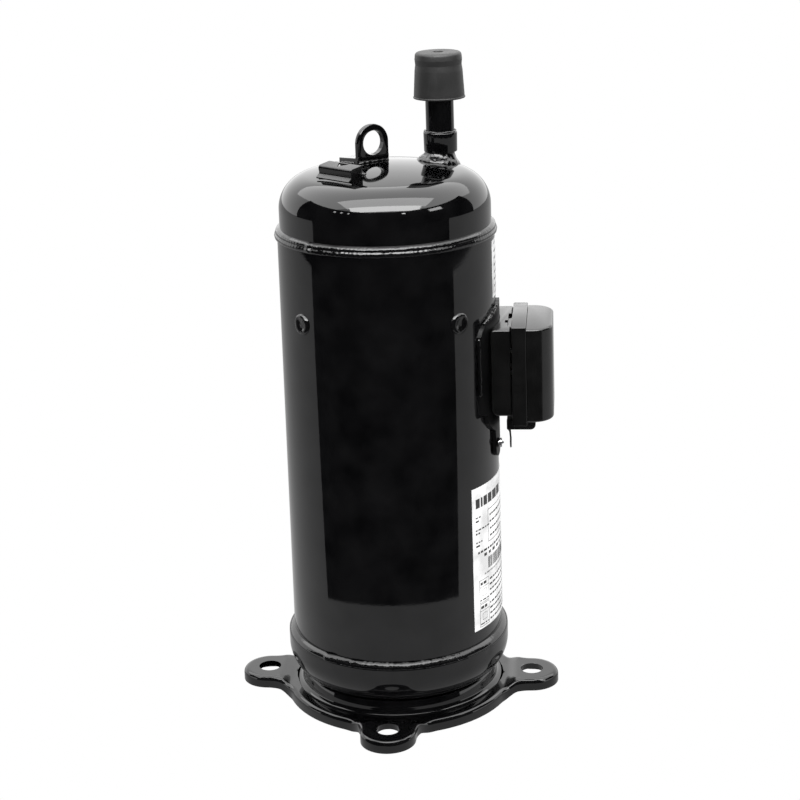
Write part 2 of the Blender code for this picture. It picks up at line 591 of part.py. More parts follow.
def cover_outline(inset, front):
    """Plan of the cover: straight at the rim, with two rounded outer corners."""
    half, reach, bend = BOX_HALF_W - 0.8 - inset, COVER_FRONT - inset, COVER_CORNER - inset
    outline = [(front, -half)]
    outline += arc((reach - bend, -half + bend), bend, -90.0, 0.0, 6)
    outline += arc((reach - bend, half - bend), bend, 0.0, 90.0, 6)
    return outline + [(front, half)]


def make_cover():
    """The cover: a cup with rounded corners that pulls off towards +X."""
    cover = plate("terminal_cover", [cover_outline(0.0, RIM_FRONT + GAP)], COVER_HIGH - COVER_LOW, BOX_PLASTIC)
    cover.location.z = COVER_LOW * MM
    hollow = plate("cover_hollow", [cover_outline(WALL, RIM_FRONT - 5.0)], COVER_HIGH - COVER_LOW - 2 * WALL, None)
    hollow.location.z = (COVER_LOW + WALL) * MM
    cut(cover, hollow)


# ------------------------------------------------------------------ labels
def make_label(name, start, end, low, high, steps):
    """A thin label bent around the shell between two angles in degrees."""
    inner, outer = SHELL_R + GAP, SHELL_R + GAP + 0.3
    mesh = bpy.data.meshes.new(name)
    work = bmesh.new()
    corners = [(inner, low), (outer, low), (outer, high), (inner, high)]
    face = work.faces.new([work.verts.new((r * MM, 0.0, z * MM)) for r, z in corners])
    bmesh.ops.spin(work, geom=[face], cent=(0, 0, 0), axis=(0, 0, 1), angle=math.radians(end - start),
                   steps=steps, use_merge=False)
    bmesh.ops.rotate(work, cent=(0, 0, 0), matrix=Matrix.Rotation(math.radians(start), 3, "Z"), verts=work.verts)
    bmesh.ops.recalc_face_normals(work, faces=work.faces)
    work.to_mesh(mesh)
    work.free()
    return add_object(name, mesh, LABEL_WHITE)


# ------------------------------------------------------------------ scroll set
def wrap_outline(turn):
    """Closed outline of one involute wrap, turned about its centre by an angle in degrees."""
    half = WRAP_T / (2.0 * BASE_CIRCLE)
    phase = math.radians(turn)

    def point(roll, side):
        arm = roll + side * half
        x = BASE_CIRCLE * (math.cos(roll) + arm * math.sin(roll))
        y = BASE_CIRCLE * (math.sin(roll) - arm * math.cos(roll))
        return (x * math.cos(phase) - y * math.sin(phase), x * math.sin(phase) + y * math.cos(phase))

    rolls = [WRAP_FROM + (WRAP_TO - WRAP_FROM) * i / WRAP_STEPS for i in range(WRAP_STEPS + 1)]
    return [point(roll, 1) for roll in rolls] + [point(roll, -1) for roll in reversed(rolls)]


def add_notches(target, low, high):
    """Two gas passages at the rim of a piece that fills the shell."""
    for number, angle in enumerate((112.5, 292.5)):
        foot, head = around(FRAME_R + 1, angle, low), around(FRAME_R + 1, angle, high)
        cut(target, rod(f"{target.name}_notch_{number}", foot, head, 6.0, None, 16))


def make_fixed_scroll():
    """Fixed scroll: end plate, rim, wrap, suction boss and discharge port."""
    body = turned("fixed_scroll", [(0.0, FIXED_PLATE_Z1), (FRAME_R, FIXED_PLATE_Z1), (FRAME_R, FRAME_TOP + GAP),
                                   (64.0, FRAME_TOP + GAP), (64.0, FIXED_PLATE_Z0), (0.0, FIXED_PLATE_Z0)],
                  CAST_IRON, closed=False)
    wrap = plate("fixed_wrap", [wrap_outline(FIXED_TURN)], FIXED_PLATE_Z0 + 1.0 - ORBIT_PLATE_Z1 - GAP, None)
    wrap.location.z = (ORBIT_PLATE_Z1 + GAP) * MM
    join(body, wrap)
    x, y = SUCTION_X, SUCTION_Y
    join(body, rod("suction_boss", (x, y, FIXED_PLATE_Z1 - 1), (x, y, 378), 15.0, None, 24))
    cut(body, rod("suction_port", (x, y, 350), (x, y, 380), 6.5, None, 20))
    cut(body, rod("valve_chamber", (x, y, 354.5), (x, y, 380), 10.0))
    cut(body, rod("suction_socket", (x, y, SUCTION_FOOT - GAP), (x, y, 380), SUCTION_R + GAP, None, 32))
    cut(body, rod("discharge_port", (0, 0, 350), (0, 0, 370), 5.0, None, 16))
    for number in range(4):
        bolt_x, bolt_y, _ = around(BOLT_CIRCLE, BOLT_TURN + 90 * number)
        cut(body, rod(f"fixed_bolt_hole_{number}", (bolt_x, bolt_y, 320), (bolt_x, bolt_y, 370), 2.8, None, 12))
    cut(body, rod("reed_hole", (-22, 0, 355), (-22, 0, 370), 1.8, None, 12))
    add_notches(body, 320, 370)


def make_orbiting_scroll():
    """Orbiting scroll at its rest place, with its bearing hub and two key slots."""
    x = ORBIT
    hub_r, hub_bore = 21.0, 14.8
    body = turned("orbiting_scroll", [(0.0, ORBIT_PLATE_Z1), (ORBIT_PLATE_R, ORBIT_PLATE_Z1),
                                      (ORBIT_PLATE_R, ORBIT_PLATE_Z0), (hub_r, ORBIT_PLATE_Z0), (hub_r, 286.0),
                                      (hub_bore, 286.0), (hub_bore, CRANK_PIN_TOP + 2), (0.0, CRANK_PIN_TOP + 2)],
                  ALUMINIUM, closed=False)
    body.location.x = x * MM
    wrap = plate("orbiting_wrap", [wrap_outline(FIXED_TURN + 180.0)], FIXED_PLATE_Z0 - GAP - ORBIT_PLATE_Z1 + 1, None)
    wrap.location = (x * MM, 0.0, (ORBIT_PLATE_Z1 - 1.0) * MM)
    join(body, wrap)
    for side in (-1, 1):
        near, far = sorted((side * 43.5, side * 64.5))
        cut(body, block(f"orbit_slot_{side}", (x - 3.4, near, 305), (x + 3.4, far, ORBIT_PLATE_Z0 + 4.6), None))
    bush = ring("orbiting_bearing", CRANK_PIN_R + GAP, hub_bore - GAP, 287.0, 308.0, BRONZE, 32)
    bush.location.x = x * MM


def make_oldham_ring():
    """Oldham ring that keeps the orbiting scroll from turning: keys below along X, above along Y."""
    body = ring("oldham_ring", 48.0, 60.0, OLDHAM_FLOOR + 0.4, THRUST_Z - 0.4, STEEL)
    body.location.x = ORBIT * MM
    low, high = OLDHAM_FLOOR + 1.0, THRUST_Z - 1.0
    for side in (-1, 1):
        near, far = side * KEY_CIRCLE - 4.5, side * KEY_CIRCLE + 4.5
        join(body, block(f"low_key_{side}", (ORBIT + near, -3.0, OLDHAM_FLOOR - 4.5), (ORBIT + far, 3.0, high), None))
        join(body, block(f"high_key_{side}", (ORBIT - 3.0, near, low), (ORBIT + 3.0, far, ORBIT_PLATE_Z0 + 4.2), None))


def make_main_frame():
    """Main frame: rim welded to the shell, thrust face, Oldham pocket and main bearing hub."""
    pocket_r, cavity_r, bore = 66.0, 30.5, 20.0
    frame = turned("main_frame", [(FRAME_R, FRAME_TOP), (FRAME_R, FRAME_RIM_FOOT), (58.0, 292.0), (36.0, 276.0),
                                  (30.0, HUB_FOOT), (bore, HUB_FOOT), (bore, 284.5), (cavity_r, 284.5),
                                  (cavity_r, THRUST_Z), (42.0, THRUST_Z), (42.0, OLDHAM_FLOOR),
                                  (pocket_r, OLDHAM_FLOOR), (pocket_r, FRAME_TOP)], CAST_IRON)
    for side in (-1, 1):
        near, far = sorted((side * 43.2, side * 64.8))
        cut(frame, block(f"frame_slot_{side}", (near, -3.4, OLDHAM_FLOOR - 5.0), (far, 3.4, 310), None))
    for number in range(4):
        x, y, _ = around(BOLT_CIRCLE, BOLT_TURN + 90 * number)
        cut(frame, rod(f"frame_bolt_hole_{number}", (x, y, 312), (x, y, 335), 2.8, None, 12))
        head = turned(f"scroll_bolt_{number + 1}",
                      [(0.0, 366.4), (4.2, 366.4), (4.2, FIXED_PLATE_Z1 + GAP), (2.5, FIXED_PLATE_Z1 + GAP),
                       (2.5, 313.0), (0.0, 313.0)], STEEL, 12, closed=False)
        head.location = (x * MM, y * MM, 0.0)
    add_notches(frame, 285, 335)
    ring("main_bearing", SHAFT_R + GAP, bore - GAP, HUB_FOOT + 1, SHAFT_TOP - 1, BRONZE, 32)


def make_valves():
    """Suction check valve with its spring, and the discharge reed under its stop."""
    x, y = SUCTION_X, SUCTION_Y
    rod("suction_valve_disc", (x, y, 366.2), (x, y, 367.8), 9.3, STEEL, 24)
    turns, foot, head, radius = 3.0, 355.4, 365.3, 8.0
    count = int(turns * 12)
    coil = [(x + radius * math.cos(math.tau * turns * i / count), y + radius * math.sin(math.tau * turns * i / count),
             foot + (head - foot) * i / count) for i in range(count + 1)]
    wire("suction_valve_spring", coil, 0.5, STEEL)
    seat = FIXED_PLATE_Z1 + GAP
    reed = [(REED_ROOT_X, -4.0), (-18.0, -4.0), (-6.5, -4.4)] + arc((0.0, 0.0), 7.8, -145.0, 145.0, 12)
    reed += [(-6.5, 4.4), (-18.0, 4.0), (REED_ROOT_X, 4.0)]
    hole = arc((-22.0, 0.0), 2.2, 0.0, 330.0, 11)
    leaf = plate("discharge_reed", [reed, hole], 0.5, STEEL)
    leaf.location.z = seat * MM
    rise = math.tan(math.radians(7.0))
    low = seat + 0.8
    tip = low + 33.5 * rise
    side = [(REED_ROOT_X - 0.5, low), (7.0, tip), (7.0, tip + 2.5), (-16.0, low + 3.7), (REED_ROOT_X - 0.5, low + 3.7)]
    stop = plate("discharge_stop", [side], 9.0, STEEL)
    stand(stop, (0, 4.5, 0), (1, 0, 0), (0, -1, 0))
    cut(stop, rod("stop_hole", (-22, 0, 355), (-22, 0, 375), 1.8, None, 12))
    screw = turned("reed_screw", [(0.0, low + 6.6), (3.0, low + 6.6), (3.0, low + 4.0), (1.5, low + 4.0),
                                  (1.5, 356.0), (0.0, 356.0)], STEEL, 12, closed=False)
    screw.location.x = -22.0 * MM


# ------------------------------------------------------------------ shaft and motor
def make_shaft():
    """Crankshaft with its eccentric pin, oil gallery, restrictor plug and pickup tube."""
    shaft = turned("crankshaft", [(0.0, SHAFT_TOP), (SHAFT_R, SHAFT_TOP), (SHAFT_R, 226.0), (16.4, 226.0),
                                  (16.4, 100.0), (12.0, 97.0), (12.0, SHAFT_FOOT), (0.0, SHAFT_FOOT)],
                   STEEL, 32, closed=False)
    join(shaft, rod("crank_pin", (ORBIT, 0, SHAFT_TOP - 1), (ORBIT, 0, CRANK_PIN_TOP), CRANK_PIN_R, None, 32))
    half = ORBIT / 2
    cut(shaft, rod("oil_gallery", (half, 0, 50), (half, 0, 320), GALLERY_R, None, 12))
    cut(shaft, rod("pickup_socket", (0, 0, 50), (0, 0, 72), 6.3, None, 20))
    rod("oil_gallery_plug", (half, 0, CRANK_PIN_TOP - 6), (half, 0, CRANK_PIN_TOP - 0.5), GALLERY_R - GAP, BRONZE, 12)
    turned("oil_pickup", [(6.0, 71.5), (6.0, 28.0), (4.0, 21.0), (2.6, 21.0), (4.4, 29.0), (4.4, 71.5)], STEEL, 20)
    bore = 16.8
    ring("rotor_core", bore, ROTOR_R, STACK_LOW, STACK_HIGH, LAMINATION, 32)
    ring("upper_end_ring", 26.0, 40.0, STACK_HIGH + GAP, 213.0, ALUMINIUM, 32)
    ring("lower_end_ring", 26.0, 40.0, 117.0, STACK_LOW - GAP, ALUMINIUM, 32)
    make_balance_weight("upper_balance_weight", 213.0 + GAP, 227.0, -1)
    make_balance_weight("lower_balance_weight", 103.0, 117.0 - GAP, 1)


def make_balance_weight(name, low, high, side):
    """A half ring screwed to an end ring, on one side of the shaft."""
    sweep = arc((0.0, 0.0), 39.0, -85.0, 85.0, 16) + arc((0.0, 0.0), 27.0, 85.0, -85.0, 10)
    weight = plate(name, [[(side * x, side * y) for x, y in sweep]], high - low, BRONZE)
    weight.location.z = low * MM


def make_stator():
    """Stator core with its slots, and the winding as one body through them."""
    slots = []
    for number in range(SLOTS):
        turn = Matrix.Rotation(math.tau * (number + 0.5) / SLOTS, 2)
        corners = ((SLOT_IN, -SLOT_HALF_W), (SLOT_OUT, -SLOT_HALF_W), (SLOT_OUT, SLOT_HALF_W), (SLOT_IN, SLOT_HALF_W))
        slots.append([tuple(turn @ Vector(corner)) for corner in corners])
    step = 360.0 / ROUND
    rim = arc((0.0, 0.0), FRAME_R, 0.0, 360.0 - step, ROUND - 1)
    bore = arc((0.0, 0.0), STATOR_BORE, 0.0, 360.0 - step, ROUND - 1)
    core = plate("stator_core", [rim, bore] + slots, STACK_HIGH - STACK_LOW, LAMINATION)
    core.location.z = STACK_LOW * MM
    for number, angle in enumerate((22.5, 112.5, 202.5, 292.5)):
        foot, head = around(FRAME_R + 2, angle, 120), around(FRAME_R + 2, angle, 210)
        cut(core, rod(f"core_notch_{number}", foot, head, 7.0, None, 10))
    inner, outer = 46.5, 64.0
    low, high = STACK_LOW - GAP, STACK_HIGH + GAP
    winding = turned("stator_winding", [(outer - 3, high + 28), (outer, high + 22), (outer, high), (inner, high),
                                        (inner, high + 24), (inner + 3, high + 28)], COPPER)
    join(winding, turned("lower_turns", [(outer, low), (outer, low - 22), (outer - 3, low - 28), (inner + 3, low - 28),
                                         (inner, low - 24), (inner, low)], None))
    bars = []
    for number in range(SLOTS):
        angle = math.tau * (number + 0.5) / SLOTS
        bar = block(f"slot_bar_{number}", (SLOT_IN + 0.4, -2.4, low - 3), (SLOT_OUT - 0.4, 2.4, high + 3), None)
        bar.data.transform(Matrix.Rotation(angle, 4, "Z"))
        bars.append(bar)
    merged = bmesh.new()
    for bar in bars:
        merged.from_mesh(bar.data)
        bpy.data.objects.remove(bar, do_unlink=True)
    bars_mesh = bpy.data.meshes.new("slot_bars")
    merged.to_mesh(bars_mesh)
    merged.free()
    join(winding, add_object("slot_bars", bars_mesh, None))


def make_lower_bearing():
    """Lower frame across the shell below the motor, and its bush."""
    frame = turned("lower_frame", [(FRAME_R, 82.0), (FRAME_R, 66.0), (FRAME_R - 5, 66.0), (FRAME_R - 5, 70.0),
                                   (22.0, 70.0), (20.0, 60.0), (15.8, 60.0), (15.8, 86.0), (20.0, 86.0),
                                   (22.0, 76.0), (FRAME_R - 5, 76.0), (FRAME_R - 5, 82.0)], CAST_IRON)
    for number in range(4):
        x, y, _ = around(48.0, 45 + 90 * number)
        cut(frame, rod(f"lower_window_{number}", (x, y, 60), (x, y, 90), 15.0, None, 12))
    ring("lower_bearing", 12.3, 15.5, 61.0, 85.0, BRONZE, 32)


def main():
    """Make every piece."""
    make_shell()
    make_top_cap()
    make_bottom_cap()
    make_weld_beads()
    make_base_plate()
    make_suction_side(make_dome_cutter("dome_weld_trim"))
    make_discharge_side()
    make_lifting_lug(make_dome_cutter("dome_lug_trim"))
    make_sensor_clip(make_dome_cutter("dome_clip_trim"))
    make_terminal()
    make_terminal_flange()
    make_terminal_box()
    make_label("name_label", -39.5, 25.0, 67.0, 182.0, 18)
    make_label("upper_label", -11.0, 19.0, 322.0, 366.0, 8)
    make_fixed_scroll()
    make_orbiting_scroll()
    make_oldham_ring()
    make_main_frame()
    make_valves()
    make_shaft()
    make_stator()
    make_lower_bearing()


main()
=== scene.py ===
"""Looks of the hermetic scroll compressor: black enamelled shell, welds, fittings and terminal box.

Shapes are drawn in millimetres in the frame's own axes: +Z up the shaft, +X to the terminal box.
"""
import math
import random

import bmesh
import bpy
from mathutils import Matrix, Vector, noise


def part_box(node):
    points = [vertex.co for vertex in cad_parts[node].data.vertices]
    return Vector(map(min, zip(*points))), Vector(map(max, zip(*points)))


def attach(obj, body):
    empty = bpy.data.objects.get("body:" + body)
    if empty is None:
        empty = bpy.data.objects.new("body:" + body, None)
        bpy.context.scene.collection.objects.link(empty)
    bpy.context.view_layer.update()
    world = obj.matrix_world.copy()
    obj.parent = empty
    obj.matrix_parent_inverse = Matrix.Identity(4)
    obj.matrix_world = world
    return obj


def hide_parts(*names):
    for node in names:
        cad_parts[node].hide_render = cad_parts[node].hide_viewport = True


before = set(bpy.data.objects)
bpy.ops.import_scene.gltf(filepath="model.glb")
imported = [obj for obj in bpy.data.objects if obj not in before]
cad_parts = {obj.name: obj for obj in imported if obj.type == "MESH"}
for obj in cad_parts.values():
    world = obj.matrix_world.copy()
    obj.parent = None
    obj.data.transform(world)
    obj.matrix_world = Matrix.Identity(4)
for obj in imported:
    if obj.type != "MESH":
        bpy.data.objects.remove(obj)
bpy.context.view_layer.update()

MM = 0.001
MERGE = 0.000002
ROUND = 192                # flats around the shell and its caps
GAP = 0.3                  # air between a piece and its neighbour
WALL = 2.2                 # thickness of the box's moulded walls
TUBE_WALL = 1.3
MOUTH_ROOM = 2.3           # air between a tube's mouth and the end wall of its plug

# ---- sizes the frame gives, in millimetres ----
def box_mm(node):
    """Lowest and highest corner of a frame node, in millimetres."""
    low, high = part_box(node)
    return low / MM, high / MM


SHELL_R = box_mm("shell_tube")[1].x
SHELL_FOOT, SHELL_TOP = box_mm("shell_tube")[0].z, box_mm("shell_tube")[1].z
SHELL_BORE = SHELL_R - 3.5
CROWN_R = 330.0
CAP_WALL, CAP_SKIRT_FOOT = 4.0, 362.0
TOP_CAP_R, TOP_KNUCKLE_R, TOP_KNUCKLE_Z = 80.5, 26.0, 391.7
BOTTOM_CAP_R, BOTTOM_KNUCKLE_R, BOTTOM_KNUCKLE_Z = 86.8, 24.0, 42.0
BOTTOM_CAP_TOP = box_mm("bottom_cap")[1].z
PLUG_WELD_Z = 314.0
RING_R, RING_BORE, RING_TOP, PLATE_T = 89.5, 71.8, 9.0, 4.5
EAR_CENTRE, EAR_R, EAR_FILLET, EAR_LIFT = 105.2, 21.0, 25.0, 3.6
LIFT_FROM, LIFT_TO = 84.0, 95.0
GROMMET_R = 8.75
SUCTION_X, SUCTION_Y, SUCTION_R = 41.5, 29.0, 10.8
SUCTION_FOOT, SUCTION_TOP = 368.3, box_mm("suction_tube")[1].z
COLLAR_R, COLLAR_FOOT, COLLAR_TOP = 12.95, 426.0, 442.4
PLUG_FOOT, PLUG_TOP = box_mm("suction_plug")[0].z, box_mm("suction_plug")[1].z
DISCHARGE_Z, DISCHARGE_R = 262.0, 7.95
DISCHARGE_IN, DISCHARGE_OUT = 74.0, box_mm("discharge_tube")[1].y
TERMINAL_Z, TERMINAL_HOLE_R = 266.0, 22.0
FLANGE_OUT = 85.3
EARTH_Y, EARTH_Z = -17.9, 208.0
COVER_CORNER = 16.0
WIRE_SLOT = (97.0, 104.0, 8.0)     # from, to and half-width of the way out for the wires
LUG_MID, LUG_TURN = Vector((-9.8, 13.3, 0.0)), 41.0
LUG_W, LUG_T, LUG_EYE_Z, LUG_EYE_R = 28.5, 4.5, 437.2, 9.4
CLIP_R, CLIP_TURN, CLIP_LONG = 44.8, 231.3, 34.0
WELD_SEAM = -125.0         # degrees, where the weld runs start and stop


# ------------------------------------------------------------------ finishes
def new_finish(name, colour, roughness, metallic=0.0, **sockets):
    """A material with a Principled shader; returns it with its nodes, links and shader."""
    made = bpy.data.materials.new(name)
    made.use_nodes = True
    nodes, links = made.node_tree.nodes, made.node_tree.links
    shader = nodes["Principled BSDF"]
    shader.inputs["Base Color"].default_value = (*colour, 1.0)
    shader.inputs["Roughness"].default_value = roughness
    shader.inputs["Metallic"].default_value = metallic
    for socket, value in sockets.items():
        shader.inputs[socket.replace("_", " ")].default_value = value
    return made, nodes, links, shader


def add_noise(nodes, links, scale, detail=2.0, stretch=(1.0, 1.0, 1.0)):
    """A noise texture on object coordinates, in cycles a metre, stretched along an axis."""
    place = nodes.new("ShaderNodeTexCoord")
    mapping = nodes.new("ShaderNodeMapping")
    mapping.inputs["Scale"].default_value = stretch
    texture = nodes.new("ShaderNodeTexNoise")
    texture.inputs["Scale"].default_value = scale
    texture.inputs["Detail"].default_value = detail
    links.new(place.outputs["Object"], mapping.inputs["Vector"])
    links.new(mapping.outputs["Vector"], texture.inputs["Vector"])
    return texture.outputs["Fac"]


def add_bumps(nodes, links, shader, layers):
    """Chain bump nodes; each layer is a height socket and a depth in metres."""
    normal = None
    for height, depth in layers:
        bump = nodes.new("ShaderNodeBump")
        bump.inputs["Strength"].default_value = 1.0
        bump.inputs["Distance"].default_value = depth
        links.new(height, bump.inputs["Height"])
        if normal is not None:
            links.new(normal, bump.inputs["Normal"])
        normal = bump.outputs["Normal"]
    links.new(normal, shader.inputs["Normal"])


def vary(nodes, links, source, socket, low, high, start=0.35, end=0.65):
    """Drive a socket between two values from a 0 to 1 source."""
    ranged = nodes.new("ShaderNodeMapRange")
    ranged.inputs["From Min"].default_value = start
    ranged.inputs["From Max"].default_value = end
    ranged.inputs["To Min"].default_value = low
    ranged.inputs["To Max"].default_value = high
    links.new(source, ranged.inputs["Value"])
    links.new(ranged.outputs["Result"], socket)


def tint(nodes, links, source, shader, dark, light, start=0.35, end=0.65):
    """Drive the base colour between two colours from a 0 to 1 source."""
    ramp = nodes.new("ShaderNodeValToRGB")
    ramp.color_ramp.elements[0].position = start
    ramp.color_ramp.elements[0].color = (*dark, 1.0)
    ramp.color_ramp.elements[1].position = end
    ramp.color_ramp.elements[1].color = (*light, 1.0)
    links.new(source, ramp.inputs["Fac"])
    links.new(ramp.outputs["Color"], shader.inputs["Base Color"])


def enamel(name, peel, wave, roughness, shine=0.5):
    """Gloss black enamel: orange peel, a slow wave under it, and faint dust."""
    made, nodes, links, shader = new_finish(name, (0.002, 0.002, 0.0022), roughness, IOR=1.5,
                                            Specular_IOR_Level=shine)
    dust = add_noise(nodes, links, 45.0, 5.0)
    tint(nodes, links, dust, shader, (0.0015, 0.0015, 0.0017), (0.0045, 0.0045, 0.0048), 0.3, 0.75)
    vary(nodes, links, dust, shader.inputs["Roughness"], roughness, roughness + 0.05, 0.3, 0.8)
    add_bumps(nodes, links, shader, [
        (add_noise(nodes, links, 700.0, 2.0), peel),
        (add_noise(nodes, links, 30.0, 1.0, (1.0, 1.0, 0.35)), wave)])
    return made


def moulded(name, colour, roughness, grain, depth):
    """Moulded plastic or rubber with a fine grain."""
    made, nodes, links, shader = new_finish(name, (colour, colour, colour * 1.02), roughness)
    cloud = add_noise(nodes, links, 60.0, 4.0)
    tint(nodes, links, cloud, shader, (colour * 0.8,) * 3, (colour * 1.3,) * 3)
    vary(nodes, links, cloud, shader.inputs["Roughness"], roughness - 0.04, roughness + 0.06)
    add_bumps(nodes, links, shader, [(add_noise(nodes, links, grain, 2.0), depth)])
    return made


def metal(name, dark, light, roughness, scale, depth, stretch=(1.0, 1.0, 1.0)):
    """Bare metal whose grain runs along its working direction."""
    made, nodes, links, shader = new_finish(name, light, roughness, 1.0)
    grain = add_noise(nodes, links, scale, 4.0, stretch)
    tint(nodes, links, grain, shader, dark, light)
    vary(nodes, links, grain, shader.inputs["Roughness"], roughness - 0.08, roughness + 0.1)
    add_bumps(nodes, links, shader, [(grain, depth)])
    return made


def windings(name):
    """Enamelled copper wire laid in turns."""
    made, nodes, links, shader = new_finish(name, (0.5, 0.2, 0.08), 0.3, 0.9)
    place = nodes.new("ShaderNodeTexCoord")
    turns = nodes.new("ShaderNodeTexWave")
    turns.wave_type = "RINGS"
    turns.rings_direction = "Z"
    turns.inputs["Scale"].default_value = 260.0
    turns.inputs["Distortion"].default_value = 1.5
    links.new(place.outputs["Object"], turns.inputs["Vector"])
    tint(nodes, links, turns.outputs["Fac"], shader, (0.22, 0.07, 0.03), (0.62, 0.27, 0.11), 0.2, 0.8)
    add_bumps(nodes, links, shader, [(turns.outputs["Fac"], 0.0004)])
    return made


def lamination_stack(name):
    """Stacked sheet steel: thin level lines half a millimetre apart."""
    made, nodes, links, shader = new_finish(name, (0.3, 0.31, 0.33), 0.4, 1.0)
    place = nodes.new("ShaderNodeTexCoord")
    sheets = nodes.new("ShaderNodeTexWave")
    sheets.bands_direction = "Z"
    sheets.inputs["Scale"].default_value = 320.0
    links.new(place.outputs["Object"], sheets.inputs["Vector"])
    tint(nodes, links, sheets.outputs["Fac"], shader, (0.16, 0.17, 0.18), (0.38, 0.39, 0.41), 0.1, 0.6)
    add_bumps(nodes, links, shader, [(sheets.outputs["Fac"], 0.0002)])
    return made


PAINT = enamel("gloss_black_enamel", 0.000007, 0.00012, 0.03)
WELD_PAINT = enamel("enamel_over_weld", 0.00005, 0.0002, 0.09)
BRACKET_PAINT = enamel("enamel_on_bracket", 0.00003, 0.0003, 0.2)
FLANGE_PAINT = enamel("dull_enamel_on_flange", 0.00004, 0.0003, 0.32, 0.12)
RUBBER = moulded("matte_plug_rubber", 0.006, 0.5, 900.0, 0.00004)
BOX_PLASTIC = moulded("black_box_moulding", 0.004, 0.15, 1500.0, 0.000004)
LABEL_FILM = moulded("white_label_film", 0.66, 0.3, 400.0, 0.00001)
INK = moulded("label_ink", 0.02, 0.4, 400.0, 0.00001)
GREY_INK = moulded("pale_label_ink", 0.22, 0.4, 400.0, 0.00001)
STEEL = metal("machined_steel", (0.36, 0.36, 0.37), (0.62, 0.62, 0.63), 0.3, 300.0, 0.00002, (1.0, 1.0, 6.0))
CAST_IRON = metal("cast_iron", (0.10, 0.10, 0.11), (0.26, 0.26, 0.27), 0.5, 350.0, 0.0001)
ALUMINIUM = metal("cast_aluminium", (0.55, 0.56, 0.58), (0.8, 0.81, 0.83), 0.35, 250.0, 0.00005)
BRONZE = metal("bearing_bronze", (0.36, 0.24, 0.11), (0.6, 0.43, 0.22), 0.35, 400.0, 0.00003, (1.0, 1.0, 4.0))
LAMINATION = lamination_stack("lamination_edges")
COPPER = windings("copper_windings")


# ------------------------------------------------------------------ making pieces
def to_object(work, name):
    """An object in the scene from a bmesh."""
    mesh = bpy.data.meshes.new(name)
    work.to_mesh(mesh)
    work.free()
    made = bpy.data.objects.new(name, mesh)
    bpy.context.scene.collection.objects.link(made)
    return made


def add_piece(name, work, finish, body="casing", stands_for=None, sharp=38.0):
    """Turn a bmesh into a finished piece that rides on a body and stands for a frame node."""
    made = to_object(work, name)
    made.data.materials.append(finish)
    made.data.shade_smooth()
    made.data.set_sharp_from_angle(angle=math.radians(sharp))
    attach(made, body)
    if stands_for:
        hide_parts(stands_for)
    return made


def stand_in(node, work, finish, sharp=38.0, body="casing"):
    """A piece that takes the place of the frame node it is named for."""
    add_piece("fine_" + node, work, finish, body, node, sharp)


def tidy_shell(work):
    """Merge doubles and point every face outwards."""
    bmesh.ops.remove_doubles(work, verts=work.verts, dist=MERGE)
    bmesh.ops.dissolve_degenerate(work, edges=work.edges, dist=MERGE)
    bmesh.ops.recalc_face_normals(work, faces=work.faces)
    return work


def rounded(corners, steps=5):
    """Points through (x, y, radius) corners, each corner with a radius turned into an arc."""
    points = []
    for number, (x, y, radius) in enumerate(corners):
        here = Vector((x, y))
        if radius == 0:
            points.append((x, y))
            continue
        back = (Vector(corners[number - 1][:2]) - here).normalized()
        ahead = (Vector(corners[(number + 1) % len(corners)][:2]) - here).normalized()
        half = back.angle(ahead) / 2
        centre = here + (back + ahead).normalized() * (radius / math.sin(half))
        start = here + back * (radius / math.tan(half)) - centre
        end = here + ahead * (radius / math.tan(half)) - centre
        sweep = start.angle(end)
        for step in range(steps + 1):
            share = step / steps
            arm = (start * math.sin((1 - share) * sweep) + end * math.sin(share * sweep)) / math.sin(sweep)
            points.append(tuple(centre + arm))
    return points


def arc(centre, radius, start, end, steps):
    """Points on an arc, angles in degrees, both ends included."""
    angles = [math.radians(start + (end - start) * i / steps) for i in range(steps + 1)]
    return [(centre[0] + radius * math.cos(a), centre[1] + radius * math.sin(a)) for a in angles]


def lathe(profile, steps=ROUND, closed=True):
    """A bmesh turned about the Z axis from (radius, height) points."""
    work = bmesh.new()
    verts = [work.verts.new((r * MM, 0.0, z * MM)) for r, z in profile]
    edges = [work.edges.new(pair) for pair in zip(verts, verts[1:])]
    if closed:
        edges.append(work.edges.new((verts[-1], verts[0])))
    bmesh.ops.spin(work, geom=verts + edges, cent=(0, 0, 0), axis=(0, 0, 1), angle=math.tau,
                   steps=steps, use_merge=True)
    return tidy_shell(work)


def prism(outline, low, high, origin=(0, 0, 0), x_axis=(1, 0, 0), z_axis=(0, 0, 1)):
    """A bmesh of an outline raised from low to high along its own Z, then placed."""
    work = bmesh.new()
    face = work.faces.new([work.verts.new((x * MM, y * MM, low * MM)) for x, y in outline])
    raised = bmesh.ops.extrude_face_region(work, geom=[face])["geom"]
    top = [item for item in raised if isinstance(item, bmesh.types.BMVert)]
    bmesh.ops.translate(work, vec=(0, 0, (high - low) * MM), verts=top)
    return place(tidy_shell(work), origin, x_axis, z_axis)


def bevel(work, edges, width, segments):
    """Round some edges of a bmesh."""
    bmesh.ops.bevel(work, geom=edges, offset=width * MM, offset_type="OFFSET", segments=segments, profile=0.5,
                    affect="EDGES", clamp_overlap=True, material=-1)


def soft_prism(outline, low, high, soft, origin=(0, 0, 0), x_axis=(1, 0, 0), z_axis=(0, 0, 1), segments=3):
    """A prism whose sharp edges are rounded before anything is cut from it."""
    work = prism(outline, low, high)
    bevel(work, [edge for edge in work.edges if edge.calc_face_angle(0.0) > math.radians(40)], soft, segments)
    return place(tidy_shell(work), origin, x_axis, z_axis)


